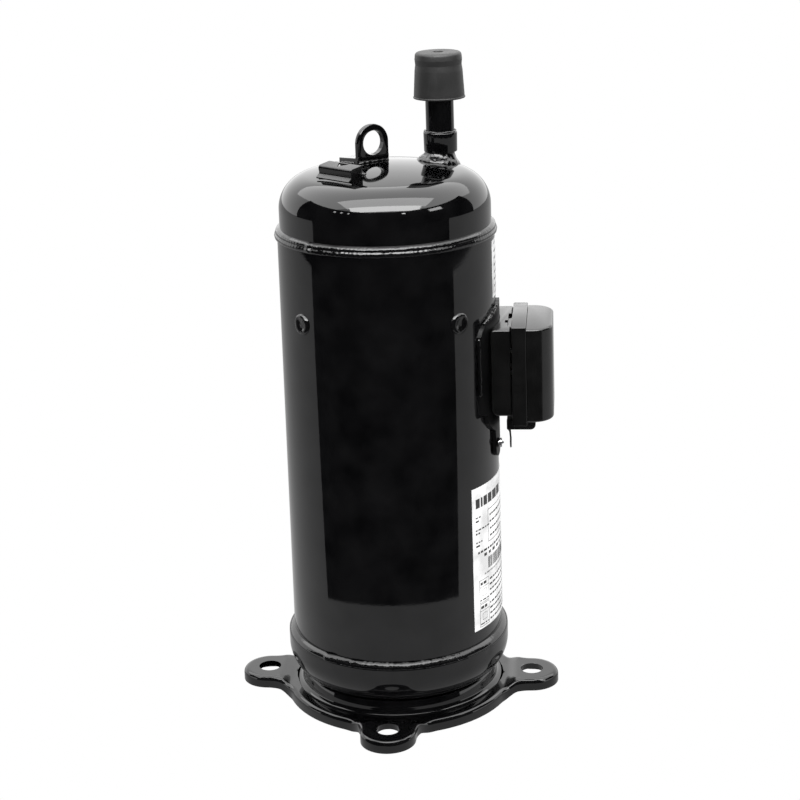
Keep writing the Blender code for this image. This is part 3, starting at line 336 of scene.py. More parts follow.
def place(work, origin, x_axis, z_axis):
    """Move a bmesh by its origin in millimetres and two of its own axes."""
    z_dir, x_dir = Vector(z_axis).normalized(), Vector(x_axis).normalized()
    turn = Matrix((x_dir, z_dir.cross(x_dir), z_dir)).transposed().to_4x4()
    bmesh.ops.transform(work, matrix=Matrix.Translation(Vector(origin) * MM) @ turn, verts=work.verts)
    return work


def cylinder(start, end, radius, segments=64):
    """A bmesh cylinder between two points."""
    first, along = Vector(start), Vector(end) - Vector(start)
    work = bmesh.new()
    bmesh.ops.create_cone(work, cap_ends=True, segments=segments, radius1=radius * MM,
                          radius2=radius * MM, depth=along.length * MM)
    turn = along.to_track_quat("Z", "Y").to_matrix().to_4x4()
    bmesh.ops.transform(work, matrix=Matrix.Translation((first + along / 2) * MM) @ turn, verts=work.verts)
    return work


def block(low, high):
    """A bmesh box between two corners."""
    work = bmesh.new()
    bmesh.ops.create_cube(work, size=MM)
    bmesh.ops.scale(work, vec=[b - a for a, b in zip(low, high)], verts=work.verts)
    bmesh.ops.translate(work, vec=[(a + b) * MM / 2 for a, b in zip(low, high)], verts=work.verts)
    return work


def combine(work, tool, operation="DIFFERENCE"):
    """Cut, join or intersect one bmesh with another, and return the result."""
    base, cutter = to_object(work, "base"), to_object(tool, "tool")
    step = base.modifiers.new("boolean", "BOOLEAN")
    step.operation = operation
    step.solver = "EXACT"
    step.object = cutter
    view = bpy.context.evaluated_depsgraph_get()
    result = bmesh.new()
    result.from_mesh(base.evaluated_get(view).data)
    for used in (base, cutter):
        bpy.data.objects.remove(used)
    bmesh.ops.remove_doubles(result, verts=result.verts, dist=MERGE)
    bmesh.ops.dissolve_degenerate(result, edges=result.edges, dist=MERGE)
    return result


def cut(work, *tools):
    """Cut one bmesh after another out of a bmesh."""
    for tool in tools:
        work = combine(work, tool)
    return work


def soften(piece):
    """Round the sharp edges of a thin tab."""
    step = piece.modifiers.new("soft_edges", "BEVEL")
    step.width = 0.3 * MM
    step.segments = 2
    step.limit_method = "ANGLE"
    step.angle_limit = math.radians(40)
    step.use_clamp_overlap = True


def around(radius, angle, height=0.0):
    """A point at a polar angle in degrees."""
    return Vector((radius * math.cos(math.radians(angle)), radius * math.sin(math.radians(angle)), height))


def rough(point, size, seed):
    """Smooth noise from -1 to 1 at a place in millimetres, with lumps of a given size."""
    return noise.noise(Vector(point) / size + Vector((seed, seed * 0.7, -seed)))


def weld_run(path, radii, seed, ridges=0.25, sides=10, rings=1.6):
    """A weld fillet along a path: a lumpy tube with cross ripples, its ends closed."""
    work = bmesh.new()
    smooth = []
    for first, second in zip(path, path[1:]):
        count = max(1, int((second - first).length / 0.8))
        smooth += [first.lerp(second, step / count) for step in range(count)]
    smooth.append(path[-1])
    loops = []
    for number, centre in enumerate(smooth):
        ahead = smooth[min(number + 1, len(smooth) - 1)] - smooth[max(number - 1, 0)]
        share = number / (len(smooth) - 1)
        taper = min(1.0, 4.0 * math.sqrt(max(share * (1 - share), 0.0)) + 0.15)
        size = radii * taper * (1.0 + ridges * rough(centre, 2.2, seed) + 0.12 * math.sin(number * rings))
        ring = bmesh.ops.create_circle(work, cap_ends=False, radius=size * MM, segments=sides)["verts"]
        turn = ahead.to_track_quat("Z", "Y").to_matrix().to_4x4()
        bmesh.ops.transform(work, matrix=Matrix.Translation(centre * MM) @ turn, verts=ring)
        for vert in ring:
            lump = rough(vert.co / MM, 1.3, seed + 3.0) * radii * 0.22
            vert.co += (vert.co - centre * MM).normalized() * lump * MM
        loops.append(list({edge for vert in ring for edge in vert.link_edges}))
    for first, second in zip(loops, loops[1:]):
        bmesh.ops.bridge_loops(work, edges=first + second)
    for loop in (loops[0], loops[-1]):
        bmesh.ops.holes_fill(work, edges=loop, sides=0)
    bmesh.ops.recalc_face_normals(work, faces=work.faces)
    return work


# ------------------------------------------------------------------ shell, caps and welds
def dome_profile(radius, knuckle_r, knuckle_z, side, knuckle_steps=20, crown_steps=18):
    """Cap profile from its straight side to the axis; side is +1 upwards or -1 downwards."""
    inset = radius - knuckle_r
    crown_r = CROWN_R + knuckle_r - (TOP_KNUCKLE_R if side > 0 else BOTTOM_KNUCKLE_R)
    rise = math.sqrt((crown_r - knuckle_r) ** 2 - inset ** 2)
    meet = math.degrees(math.atan2(rise, inset)) * side
    points = arc((inset, knuckle_z), knuckle_r, 0.0, meet, knuckle_steps)
    points += arc((0.0, knuckle_z - side * rise), crown_r, meet, 90.0 * side, crown_steps)[1:]
    points[-1] = (0.0, points[-1][1])
    return points


def dome_height(x, y):
    """Height of the top cap's outer surface over a point."""
    reach = math.hypot(x, y)
    inset = TOP_CAP_R - TOP_KNUCKLE_R
    rise = math.sqrt((CROWN_R - TOP_KNUCKLE_R) ** 2 - inset ** 2)
    if reach * rise < inset * math.sqrt(max(CROWN_R ** 2 - reach ** 2, 0.0)):
        return TOP_KNUCKLE_Z - rise + math.sqrt(CROWN_R ** 2 - reach ** 2)
    return TOP_KNUCKLE_Z + math.sqrt(max(TOP_KNUCKLE_R ** 2 - (reach - inset) ** 2, 0.0))


def make_shell():
    """The drawn shell tube, with the hole for the terminal."""
    tube = lathe(rounded([(SHELL_R, SHELL_TOP, 0.6), (SHELL_R, SHELL_FOOT, 0.4),
                          (SHELL_BORE, SHELL_FOOT, 0.4), (SHELL_BORE, SHELL_TOP, 0.4)], 3))
    tube = combine(tube, cylinder((70, 0, TERMINAL_Z), (95, 0, TERMINAL_Z), TERMINAL_HOLE_R + GAP))
    stand_in("shell_tube", tube, PAINT)


def make_caps():
    """The top cap and the bottom cap, each a pressed dome with its wall."""
    outer = dome_profile(TOP_CAP_R, TOP_KNUCKLE_R, TOP_KNUCKLE_Z, 1)
    inner = dome_profile(TOP_CAP_R - CAP_WALL, TOP_KNUCKLE_R - CAP_WALL, TOP_KNUCKLE_Z, 1)
    skirt = SHELL_BORE - 0.4
    profile = inner[::-1] + [(skirt - CAP_WALL, SHELL_TOP), (skirt - CAP_WALL, CAP_SKIRT_FOOT),
                             (skirt, CAP_SKIRT_FOOT), (skirt, SHELL_TOP), (TOP_CAP_R, SHELL_TOP)] + outer
    stand_in("top_cap", lathe(profile, closed=False), PAINT)
    outer = dome_profile(BOTTOM_CAP_R, BOTTOM_KNUCKLE_R, BOTTOM_KNUCKLE_Z, -1)
    bore = BOTTOM_CAP_R - CAP_WALL
    inner = dome_profile(bore, BOTTOM_KNUCKLE_R - CAP_WALL, BOTTOM_KNUCKLE_Z, -1)
    lip = rounded([(bore, BOTTOM_KNUCKLE_Z, 0), (bore, BOTTOM_CAP_TOP, 0.3),
                   (BOTTOM_CAP_R, BOTTOM_CAP_TOP, 0.8), (BOTTOM_CAP_R, BOTTOM_KNUCKLE_Z, 0)])
    cap = lathe(inner[::-1][:-1] + lip[:-1] + outer, closed=False)
    tall = [e for e in cap.edges if abs(e.verts[0].co.z - e.verts[1].co.z) > 5 * MM]
    bmesh.ops.subdivide_edges(cap, edges=tall, cuts=5)
    nicks = ((-118.0, 47.6, 1.6), (-106.0, 45.9, 1.2), (-93.0, 47.2, 1.3), (-32.0, 48.2, 2.4))
    for vert in cap.verts:
        for angle, height, size in nicks:
            gap = (vert.co / MM - around(BOTTOM_CAP_R, angle, height)).length / size
            if gap < 1.6:
                vert.co -= vert.co.xy.normalized().to_3d() * 0.35 * MM * math.exp(-gap * gap)
    stand_in("bottom_cap", cap, PAINT)


def bead(profile, ripple, lobes, seed, calm=None, steps=900):
    """A weld bead around the shell: a turned profile whose outer skin is rippled and lumpy."""
    work = lathe(profile, steps)
    inner = min(r for r, _ in profile) + 1.2
    middle_z = sum(z for _, z in profile) / len(profile)
    for vert in work.verts:
        place_mm = vert.co / MM
        reach = math.hypot(place_mm.x, place_mm.y)
        if reach < inner:
            continue
        angle = math.degrees(math.atan2(place_mm.y, place_mm.x))
        share = calm(angle) if calm else 1.0
        scallop = math.sin(math.radians(angle) * lobes + 2.4 * rough(place_mm, 30.0, seed))
        lumps = rough(place_mm, 1.9, seed) + 1.1 * rough(place_mm, 7.0, seed)
        push = ripple * share * (0.22 * scallop + lumps)
        out = Vector((place_mm.x / reach, place_mm.y / reach, (place_mm.z - middle_z) / 4.0)).normalized()
        vert.co += out * push * MM
    return work


def add_blob(work, angle, height, reach, size, rise, crater):
    """Raise a lump with a crater in it, where a weld run starts or stops."""
    centre = around(reach, angle, height)
    for vert in work.verts:
        gap = (vert.co / MM - centre).length
        if gap < 3.0 * size:
            lift = rise * math.exp(-(gap / size) ** 2) - crater * math.exp(-(gap / (size * 0.38)) ** 2)
            vert.co += Vector((vert.co.x, vert.co.y, 0.0)).normalized() * lift * MM
    return work


def ripple_strength(angle):
    """Strength of the ripples at an angle in degrees: full along the front, calmer round the sides."""
    from_front = abs((angle + 90.0 + 180.0) % 360.0 - 180.0)
    return 1.0 if from_front < 34.0 else 0.35


def make_beads():
    """The rippled beads that join the caps to the shell."""
    side = SHELL_R - 0.1
    foot = SHELL_TOP - 1.4
    top = [(side, foot), (83.6, foot + 0.2), (84.5, foot + 1.2), (84.7, foot + 2.6), (84.3, foot + 3.7),
           (83.75, foot + 4.3), (83.6, foot + 4.8), (83.7, foot + 5.5), (83.4, foot + 6.5),
           (82.5, foot + 7.4), (81.3, foot + 7.9), (TOP_CAP_R - 0.2, foot + 8.3), (TOP_CAP_R - 0.2, foot)]
    ring = add_blob(bead(top, 0.34, 150, 2.0, ripple_strength), WELD_SEAM, 374.4, 84.4, 4.6, 1.9, 3.1)
    stand_in("top_weld", ring, WELD_PAINT, 60)
    edge, foot = BOTTOM_CAP_R, BOTTOM_CAP_TOP - 0.3
    low = [(side, foot), (edge - 0.15, foot), (edge - 0.1, foot + 0.9), (edge - 0.7, foot + 1.9),
           (edge - 1.7, foot + 2.9), (edge - 2.8, foot + 3.8), (side, foot + 4.5)]
    ring = bead(low, 0.34, 120, 5.0, lambda angle: ripple_strength(angle - 6.0) - 0.25)
    ring = add_blob(ring, WELD_SEAM + 1.0, BOTTOM_CAP_TOP + 2.0, edge - 1.0, 3.6, 1.3, 0.6)
    stand_in("bottom_weld", ring, WELD_PAINT, 60)


def make_plug_welds():
    """Four plug welds near the top of the shell, each a raised ring around a dimple."""
    for number, angle in enumerate((45, 135, 225, 315), start=1):
        profile = [(0.0, 0.9), (1.5, 0.7), (3.0, 1.0), (4.4, 1.7), (5.6, 2.2), (6.8, 2.0), (7.6, 1.2),
                   (8.1, 0.3), (8.2, -0.6), (0.0, -0.6)]
        work = lathe(profile, 72, closed=False)
        for vert in work.verts:
            spot = vert.co / MM
            if spot.z > -0.4:
                lump = 0.35 * rough(spot, 2.4, number * 5.0) + 0.25 * rough(spot, 6.0, number * 9.0)
                vert.co += Vector((spot.x * 0.05, spot.y * 0.05, 1.0)) * lump * MM
                vert.co.z -= (SHELL_R - math.sqrt(SHELL_R ** 2 - spot.y ** 2)) * MM
        place(work, around(SHELL_R, angle, PLUG_WELD_Z), (0, 0, 1), around(1, angle))
        stand_in(f"plug_weld_{number}", work, WELD_PAINT, 70)


# ------------------------------------------------------------------ base plate
def foot_outline(inset):
    """The four-eared outline, moved inwards by an inset."""
    reach, lean = RING_R + EAR_FILLET, EAR_R + EAR_FILLET
    turn = math.acos((reach ** 2 + EAR_CENTRE ** 2 - lean ** 2) / (2 * reach * EAR_CENTRE))
    hollow = (reach * math.cos(turn), reach * math.sin(turn))
    slope = math.degrees(math.atan2(hollow[1], hollow[0] - EAR_CENTRE))
    spread = math.degrees(turn)
    quarter = arc((EAR_CENTRE, 0.0), EAR_R - inset, -slope, slope, 28)
    quarter += arc(hollow, EAR_FILLET + inset, slope - 180.0, spread - 180.0, 12)[1:]
    quarter += arc((0.0, 0.0), RING_R - inset, spread, 90.0 - spread, 14)[1:]
    quarter += arc((hollow[1], hollow[0]), EAR_FILLET + inset, 270.0 - spread, 270.0 - slope, 12)[1:-1]
    turns = ((1, 0), (0, 1), (-1, 0), (0, -1))
    return [(c * x - s * y, s * x + c * y) for c, s in turns for x, y in quarter]


def ear_lift(x, y):
    """How far the ears stand above the ring at a point."""
    share = min(max((max(abs(x), abs(y)) - LIFT_FROM) / (LIFT_TO - LIFT_FROM), 0.0), 1.0)
    return EAR_LIFT * share * share * (3.0 - 2.0 * share)


def blend(first, second, share, height):
    """A level loop part of the way from one outline to another."""
    return [(x + (u - x) * share, y + (v - y) * share, height) for (x, y), (u, v) in zip(first, second)]


def make_base_plate():
    """Pressed base: a ring with an upturned bore, four raised ears and a turned-down edge."""
    edge, bend, spans = 3.8, 4.6, 26
    under_z, inside = RING_TOP - PLATE_T, RING_BORE + 3.0
    brim, under = foot_outline(edge), foot_outline(edge + 1.2)
    turns = [math.atan2(y, x) for x, y in brim]

    def circle(radius):
        return [(radius * math.cos(t), radius * math.sin(t)) for t in turns]

    quarter = [(math.cos(math.radians(a)), math.sin(math.radians(a))) for a in range(0, 91, 15)]
    levels = [(0.0, 0.0)] + [(edge * (1 - c), RING_TOP - edge * (1 - s)) for c, s in quarter]
    bore = [(RING_BORE + 9.0 - bend * s, RING_TOP + bend * (1 - c)) for c, s in quarter[1:]]
    bore += [(RING_BORE + 3.9, 19.2), (RING_BORE + 3.0, 20.2), (RING_BORE + 1.2, 20.0),
             (RING_BORE + 0.4, 19.0), (RING_BORE, 12.0), (RING_BORE + 0.8, under_z + 1.0), (inside, under_z)]
    loops = [[(x, y, z) for x, y in foot_outline(inset)] for inset, z in levels]
    loops += [blend(brim, circle(RING_BORE + 9.0), step / spans, RING_TOP) for step in range(1, spans + 1)]
    loops += [[(x, y, z) for x, y in circle(r)] for r, z in bore]
    loops += [blend(circle(inside), under, step / spans, under_z) for step in range(1, spans + 1)]
    loops += [[(x, y, z) for x, y in foot_outline(4.0)] for z in (under_z - 1.0, 0.0)]
    work = bmesh.new()
    rings = []
    for loop in loops:
        verts = [work.verts.new((x * MM, y * MM, (z + ear_lift(x, y)) * MM)) for x, y, z in loop]
        rings.append([work.edges.new(pair) for pair in zip(verts, verts[1:] + verts[:1])])
    for first, second in zip(rings, rings[1:] + rings[:1]):
        bmesh.ops.bridge_loops(work, edges=first + second)
    bmesh.ops.recalc_face_normals(work, faces=work.faces)
    centres = [around(EAR_CENTRE, 90 * number) for number in range(4)]
    foot, head = Vector((0.013, 0.017, -5.0)), Vector((0.013, 0.017, 30.0))
    work = cut(work, *(cylinder(centre + foot, centre + head, GROMMET_R, 70) for centre in centres))
    rims = [e for e in work.edges if len(e.link_faces) == 2 and e.calc_face_angle(0.0) > math.radians(60)
            and min((v.co.xy / MM - c.xy).length for c in centres for v in e.verts) < GROMMET_R + 0.1]
    bevel(work, rims, 0.5, 3)
    stand_in("base_plate", work, PAINT, 50)


# ------------------------------------------------------------------ tubes and plugs
def at_suction(work):
    """Move a bmesh turned about Z onto the suction tube's axis."""
    bmesh.ops.translate(work, vec=(SUCTION_X * MM, SUCTION_Y * MM, 0.0), verts=work.verts)
    return work


def make_collar():
    """The collar on the suction tube, with its brazed joint."""
    inner = SUCTION_R - 0.3
    collar = lathe(rounded([(COLLAR_R, COLLAR_TOP, 1.1), (COLLAR_R - 0.2, COLLAR_FOOT + 1.0, 0.5),
                            (inner, COLLAR_FOOT + 1.0, 0), (inner, COLLAR_TOP + 0.4, 0)]), 96)
    for vert in collar.verts:
        spot = vert.co / MM
        if spot.z > COLLAR_TOP - 2.5:
            vert.co.z += 0.45 * rough(spot, 3.0, 4.0) * MM
    stand_in("suction_collar", at_suction(collar), PAINT, 60)
    axis = Vector((SUCTION_X, SUCTION_Y, 0))
    joint = [around(SUCTION_R + 0.9, a, COLLAR_TOP + 0.2 + 0.25 * math.sin(a * 0.11)) + axis
             for a in range(0, 361, 6)]
    add_piece("suction_braze", weld_run(joint, 0.95, 6.0, 0.5), WELD_PAINT, sharp=70)


def make_suction_weld():
    """The ragged weld around the suction tube's foot: a turned sheet draped over the cap."""
    steps, below = 22, COLLAR_FOOT - 12.0
    crown = [(SUCTION_R + 1.0 + step / steps, COLLAR_FOOT) for step in range(steps + 1)]
    weld = lathe([(SUCTION_R - 0.3, below)] + crown + [(SUCTION_R + 2.0, below)], 144)
    for vert in weld.verts:
        spot = vert.co / MM
        reach, angle = math.hypot(spot.x, spot.y), math.atan2(spot.y, spot.x)
        buried = spot.z < COLLAR_FOOT - 1.0
        outward = min(max(reach - SUCTION_R - 1.0, 0.0), 1.0)
        if buried:
            outward = 0.0 if reach < SUCTION_R + 0.5 else 1.0
        edge = 16.6 - 2.2 * math.cos(angle - math.radians(10.0)) + 0.6 * math.sin(3 * angle + 0.6)
        edge += 1.2 * rough((math.cos(angle) * 9, math.sin(angle) * 9, 0), 4.0, 8.0)
        run = SUCTION_R - 0.3 + (edge - SUCTION_R + 0.3) * outward
        x, y = run * math.cos(angle), run * math.sin(angle)
        rise = -1.4
        if not buried:
            crest = COLLAR_FOOT + 1.6 - dome_height(SUCTION_X, SUCTION_Y)
            swell = crest * (1 - outward) ** 4 + 3.2 * abs(math.sin(math.pi * outward)) ** 0.6
            lump = 0.75 * rough((x, y, 0), 2.6, 3.0) + 0.6 * rough((x, y, 0), 5.5, 7.0)
            rise = swell + lump * min(1.0, 4 * outward * (1.15 - outward) + 0.2) - 0.25 * outward
        vert.co = Vector((x, y, dome_height(x + SUCTION_X, y + SUCTION_Y) + rise)) * MM
    bmesh.ops.recalc_face_normals(weld, faces=weld.faces)
    stand_in("suction_weld", at_suction(weld), WELD_PAINT, 75)


def make_suction_side():
    """Suction tube with its collar, its weld and its plug."""
    bore = SUCTION_R - TUBE_WALL
    tube = lathe(rounded([(SUCTION_R, SUCTION_TOP, 0.5), (SUCTION_R, SUCTION_FOOT, 0),
                          (bore, SUCTION_FOOT, 0), (bore, SUCTION_TOP, 0.4)]), 96)
    stand_in("suction_tube", at_suction(tube), PAINT)
    make_collar()
    make_suction_weld()
    clear, roof = SUCTION_R + GAP, SUCTION_TOP + MOUTH_ROOM
    skin = rounded([(3.6, PLUG_TOP - 4.0, 0.4), (4.0, PLUG_TOP, 0.5), (17.6, PLUG_TOP, 2.6),
                    (18.1, PLUG_TOP - 5.5, 2.0), (17.7, PLUG_TOP - 9.5, 2.5), (18.3, PLUG_TOP - 14.0, 3.0),
                    (19.35, PLUG_FOOT + 3.4, 2.0), (19.4, PLUG_FOOT + 1.3, 0.3),
                    (19.85, PLUG_FOOT + 1.1, 0.3), (19.85, PLUG_FOOT, 0.3), (clear, PLUG_FOOT, 0.5),
                    (clear, roof, 0.5)])
    plug = lathe([(0.0, PLUG_TOP - 4.0)] + skin + [(0.0, roof)], 128, closed=False)
    stand_in("suction_plug", at_suction(plug), RUBBER, body="suction_plug")


def make_discharge_side():
    """Discharge stub on the back of the shell, its weld and its plug."""
    bore, clear, roof = DISCHARGE_R - TUBE_WALL, DISCHARGE_R + GAP, DISCHARGE_OUT + MOUTH_ROOM
    end = box_mm("discharge_plug")[1].y
    tube = lathe(rounded([(DISCHARGE_R, DISCHARGE_OUT, 0.5), (DISCHARGE_R, DISCHARGE_IN, 0),
                          (bore, DISCHARGE_IN, 0), (bore, DISCHARGE_OUT, 0.4)]), 72)
    inner = DISCHARGE_R - 0.3
    weld = lathe([(inner, SHELL_R + 5.0), (DISCHARGE_R + 0.8, SHELL_R + 4.6), (9.8, SHELL_R + 3.4),
                  (11.4, SHELL_R + 2.2), (12.9, SHELL_R + 0.6), (13.2, SHELL_R - 2.5),
                  (inner, SHELL_R - 2.5)], 96)
    for vert in weld.verts:
        spot = vert.co / MM
        if spot.z > SHELL_R:
            hollow = SHELL_R - math.sqrt(SHELL_R ** 2 - spot.x ** 2)
            vert.co.z += (0.5 * rough(spot, 2.2, 11.0) - hollow) * MM
    skin = rounded([(11.6, end, 1.8), (12.2, end - 9.0, 2.0), (12.6, 103.4, 0.6), (13.0, 103.0, 0.3),
                    (13.0, 101.0, 0.4), (clear, 101.0, 0.4), (clear, roof, 0.4)])
    plug = lathe([(0.0, end)] + skin + [(0.0, roof)], 96, closed=False)
    for name, work, finish, body in (("discharge_tube", tube, PAINT, "casing"),
                                     ("discharge_weld", weld, WELD_PAINT, "casing"),
                                     ("discharge_plug", plug, RUBBER, "discharge_plug")):
        place(work, (0, 0, DISCHARGE_Z), (1, 0, 0), (0, 1, 0))
        stand_in(name, work, finish, 60, body)


# ------------------------------------------------------------------ fittings on the cap
def along_cap(start, end, steps):
    """Points of a weld run laid on the top cap between two places."""
    spots = [start.lerp(end, step / steps) for step in range(steps + 1)]
    return [Vector((spot.x, spot.y, dome_height(spot.x, spot.y) + 0.5)) for spot in spots]


def make_lifting_lug():
    """Lifting eye: a strip bent up from its foot, with a round head and eye, welded down."""
    width_dir = around(1, LUG_TURN)
    face_dir = Vector((width_dir.y, -width_dir.x, 0.0))
    half, thick = LUG_W / 2, LUG_T / 2
    top, far, slope = 426.4, -24.0, math.tan(math.radians(5.0))
    strip = rounded([(thick, top + 1.0, 0), (thick, top - LUG_T - 0.6, 5.0),
                     (far, top - LUG_T + far * slope, 0), (far, top + far * slope, 0),
                     (-thick, top, 0), (-thick, top + 1.0, 0)], 6)
    foot = soft_prism(strip, 0.0, LUG_W, 0.7, LUG_MID + width_dir * half, face_dir, -width_dir)
    outline = arc((0.0, LUG_EYE_Z), half, 0.0, 180.0, 48) + [(-half, top - LUG_T), (half, top - LUG_T)]
    plate = soft_prism(outline, -thick, thick, 0.9, LUG_MID, width_dir, face_dir)
    eye = LUG_MID + Vector((0, 0, LUG_EYE_Z))
    spot = LUG_MID - face_dir * 17.0
    lug = cut(combine(plate, foot, "UNION"),
              cylinder(eye - face_dir * 9.0, eye + face_dir * 9.0, LUG_EYE_R, 72),
              cylinder(spot + Vector((0, 0, 400)), spot + Vector((0, 0, 440)), 1.7, 24))
    stand_in("lifting_lug", lug, PAINT, 25)
    front = LUG_MID + face_dir * 2.0
    run = along_cap(front + width_dir * half, front - width_dir * half, 24)
    add_piece("lug_front_weld", weld_run(run, 1.15, 2.0, 0.45), WELD_PAINT, sharp=70)
    for name, side in (("left", -1), ("right", 1)):
        edge = LUG_MID + width_dir * side * (half + 0.1)
        run = along_cap(edge - face_dir * 3.0, edge - face_dir * 21.0, 14)
        add_piece(f"lug_side_weld_{name}", weld_run(run, 1.2, 4.0 + side, 0.5), WELD_PAINT, sharp=70)


def make_sensor_clip():
    """Folded spring clip on the cap, with a tongue cut in its top and a turned-out front lip."""
    out_dir = around(1, CLIP_TURN)
    tilt = math.asin(CLIP_R / CROWN_R)
    up = out_dir * math.sin(tilt) + Vector((0, 0, 1)) * math.cos(tilt)
    flat = (out_dir - up * out_dir.dot(up)).normalized()
    left = flat.cross(up)
    middle = around(CLIP_R, CLIP_TURN)
    middle.z = dome_height(middle.x, middle.y)
    right_end = middle - left * (CLIP_LONG / 2)
    sheet, deep, high = 1.2, 6.0, 9.6
    strip = rounded([(-deep, high, 0), (deep, high, 2.4), (deep - 0.4, 3.4, 1.6), (deep + 3.4, 1.6, 0),
                     (deep + 3.0, 0.5, 0), (deep - 1.6, 2.2, 1.2), (deep - sheet, high - sheet, 1.2),
                     (-deep, high - sheet, 0)], 5)
    cheek = [(-deep + 0.6, -1.0), (deep - 0.7, -1.0), (deep - 0.7, high - 0.5), (-deep + 0.6, high - 0.5)]
    sole = [(-deep - 1.5, -0.8), (deep - 1.0, -0.8), (deep - 1.0, 0.7), (-deep - 1.5, 0.7)]
    clip = prism(strip, 0.0, CLIP_LONG, right_end, flat, left)
    clip = combine(clip, prism(cheek, 0.0, sheet, right_end, flat, left), "UNION")
    clip = combine(clip, prism(sole, 1.0, CLIP_LONG - 1.0, right_end, flat, left), "UNION")
    tongue = [(-4.8, -5.5), (2.6, 0.0), (-4.8, 5.5)]
    clip = cut(clip, prism(tongue, high - 4.0, high + 4.0, middle, flat, up))
    stand_in("sensor_clip", clip, BRACKET_PAINT, 25)
    tab = [(0, -2.2, 0.8), (6.5, -2.2, 0), (6.5, 2.2, 0), (0, 2.2, 0.8)]
    hook = [(0, -1.2, 0.5), (8.0, -1.2, 1.0), (8.0, 1.6, 0.8), (0, 1.6, 0.5)]
    tab_spot = middle + left * (CLIP_LONG / 2 + 4.5) + up * 0.4 + flat * 1.5
    hook_spot = right_end + left + up * 4.2 - flat * 2.0
    for name, corners, spot in (("clip_left_tab", tab, tab_spot), ("clip_right_tab", hook, hook_spot)):
        soften(add_piece(name, prism(rounded(corners, 3), 0.0, sheet, spot, -left, up), BRACKET_PAINT))


# ------------------------------------------------------------------ terminal box
def ragged(outline):
    """An outline with torch-cut edges: points every 2 mm or so, shaken more above the earth tail."""
    points = []
    for (y, z), after in zip(outline, outline[1:] + outline[:1]):
        count = max(1, int(math.dist((y, z), after) / 2.2))
        for step in range(count):
            py, pz = y + (after[0] - y) * step / count, z + (after[1] - z) * step / count
            shake = 0.55 if pz > 235 else 0.2
            sideways, upwards = rough((py, pz, 0), 2.5, 3.0), rough((py, pz, 9), 2.5, 5.0)
            points.append((py + shake * sideways, pz + shake * upwards))
    return points


def make_terminal_flange():
    """Torch-cut bracket welded on behind the box, with its earth tail and ragged edges."""
    shape = [(-44, 250), (-44, 299), (-41, 304.5), (-36, 307.5), (-29, 311.5), (-21, 314.5), (-8, 315.6),
             (8, 316), (30, 309), (44, 299), (44, 250), (36, 240), (EARTH_Y + 5.5, 232),
             (EARTH_Y + 5.5, EARTH_Z - 4.7)]
    shape += arc((EARTH_Y, EARTH_Z - 4.7), 5.5, 0.0, -180.0, 10)[1:]
    shape += [(-24.3, 219.5), (-30, 223), (-36, 229), (-37, 235.5), (-42, 237)]
    plate = prism(ragged(shape), 60.0, 100.0, (0, 0, 0), (0, 1, 0), (1, 0, 0))
    inner = SHELL_R + 0.1
    plate = combine(plate, lathe([(FLANGE_OUT, 330), (FLANGE_OUT, 190), (inner, 190), (inner, 330)], 240),
                    "INTERSECT")
    plate = cut(plate, cylinder((70, 0, TERMINAL_Z), (99, 0, TERMINAL_Z), TERMINAL_HOLE_R + 2.0))
    stand_in("terminal_flange", plate, FLANGE_PAINT, 25)
    for name, start, end, seed in (("left", (-44, 252), (-44, 298), 2.0),
                                   ("top", (-38, 307), (-12, 315.5), 3.0),
                                   ("right", (44, 298), (44, 252), 5.0)):
        run = []
        for step in range(31):
            y, z = start[0] + (end[0] - start[0]) * step / 30, start[1] + (end[1] - start[1]) * step / 30
            run.append(Vector((math.sqrt((SHELL_R + 1.4) ** 2 - y * y), y, z)))
        add_piece(f"flange_weld_{name}", weld_run(run, 1.7, seed, 0.5), WELD_PAINT, sharp=70)
    side = rounded([(3.4, 2.4, 0.8), (3.6, 0.0, 0.2), (1.5, 0.0, 0), (1.5, -3.2, 0)])
    screw = lathe([(0.0, 2.7)] + side + [(0.0, -3.2)], 48, closed=False)
    place(screw, (FLANGE_OUT + GAP, EARTH_Y, EARTH_Z), (0, 0, 1), (1, 0, 0))
    slot = block((FLANGE_OUT + 2.1, EARTH_Y - 2.6, EARTH_Z - 0.5), (90.0, EARTH_Y + 2.6, EARTH_Z + 0.5))
    stand_in("earth_screw", cut(screw, slot), STEEL)


def make_terminal_box():
    """The moulded box behind the rim: saddled to the flange, hollow, notched in its top edge."""
    low, high = box_mm("terminal_box")
    side = rounded([(low.x, low.z, 5.0), (high.x, low.z, 0), (high.x, high.z, 0), (low.x, high.z, 3.5)], 8)
    notch, floor_x = high.z - 2.0, FLANGE_OUT + GAP + WALL
    body = cut(soft_prism(side, low.y, high.y, 1.6, (0, 0, 0), (1, 0, 0), (0, -1, 0), 4),
               cylinder((0, 0, low.z - 5), (0, 0, high.z + 5), FLANGE_OUT + GAP, 240),
               block((floor_x, low.y + WALL, low.z + WALL), (high.x + 5, high.y - WALL, high.z - WALL)),
               cylinder((70, 0, TERMINAL_Z), (99, 0, TERMINAL_Z), TERMINAL_HOLE_R),
               block((high.x - 2.8, -24.0, notch), (high.x + 1, 12.0, high.z + 1)),
               block((high.x - 5.0, -14.0, notch), (high.x + 1, -7.0, high.z + 1)))
    stand_in("terminal_box", body, BOX_PLASTIC, 25)


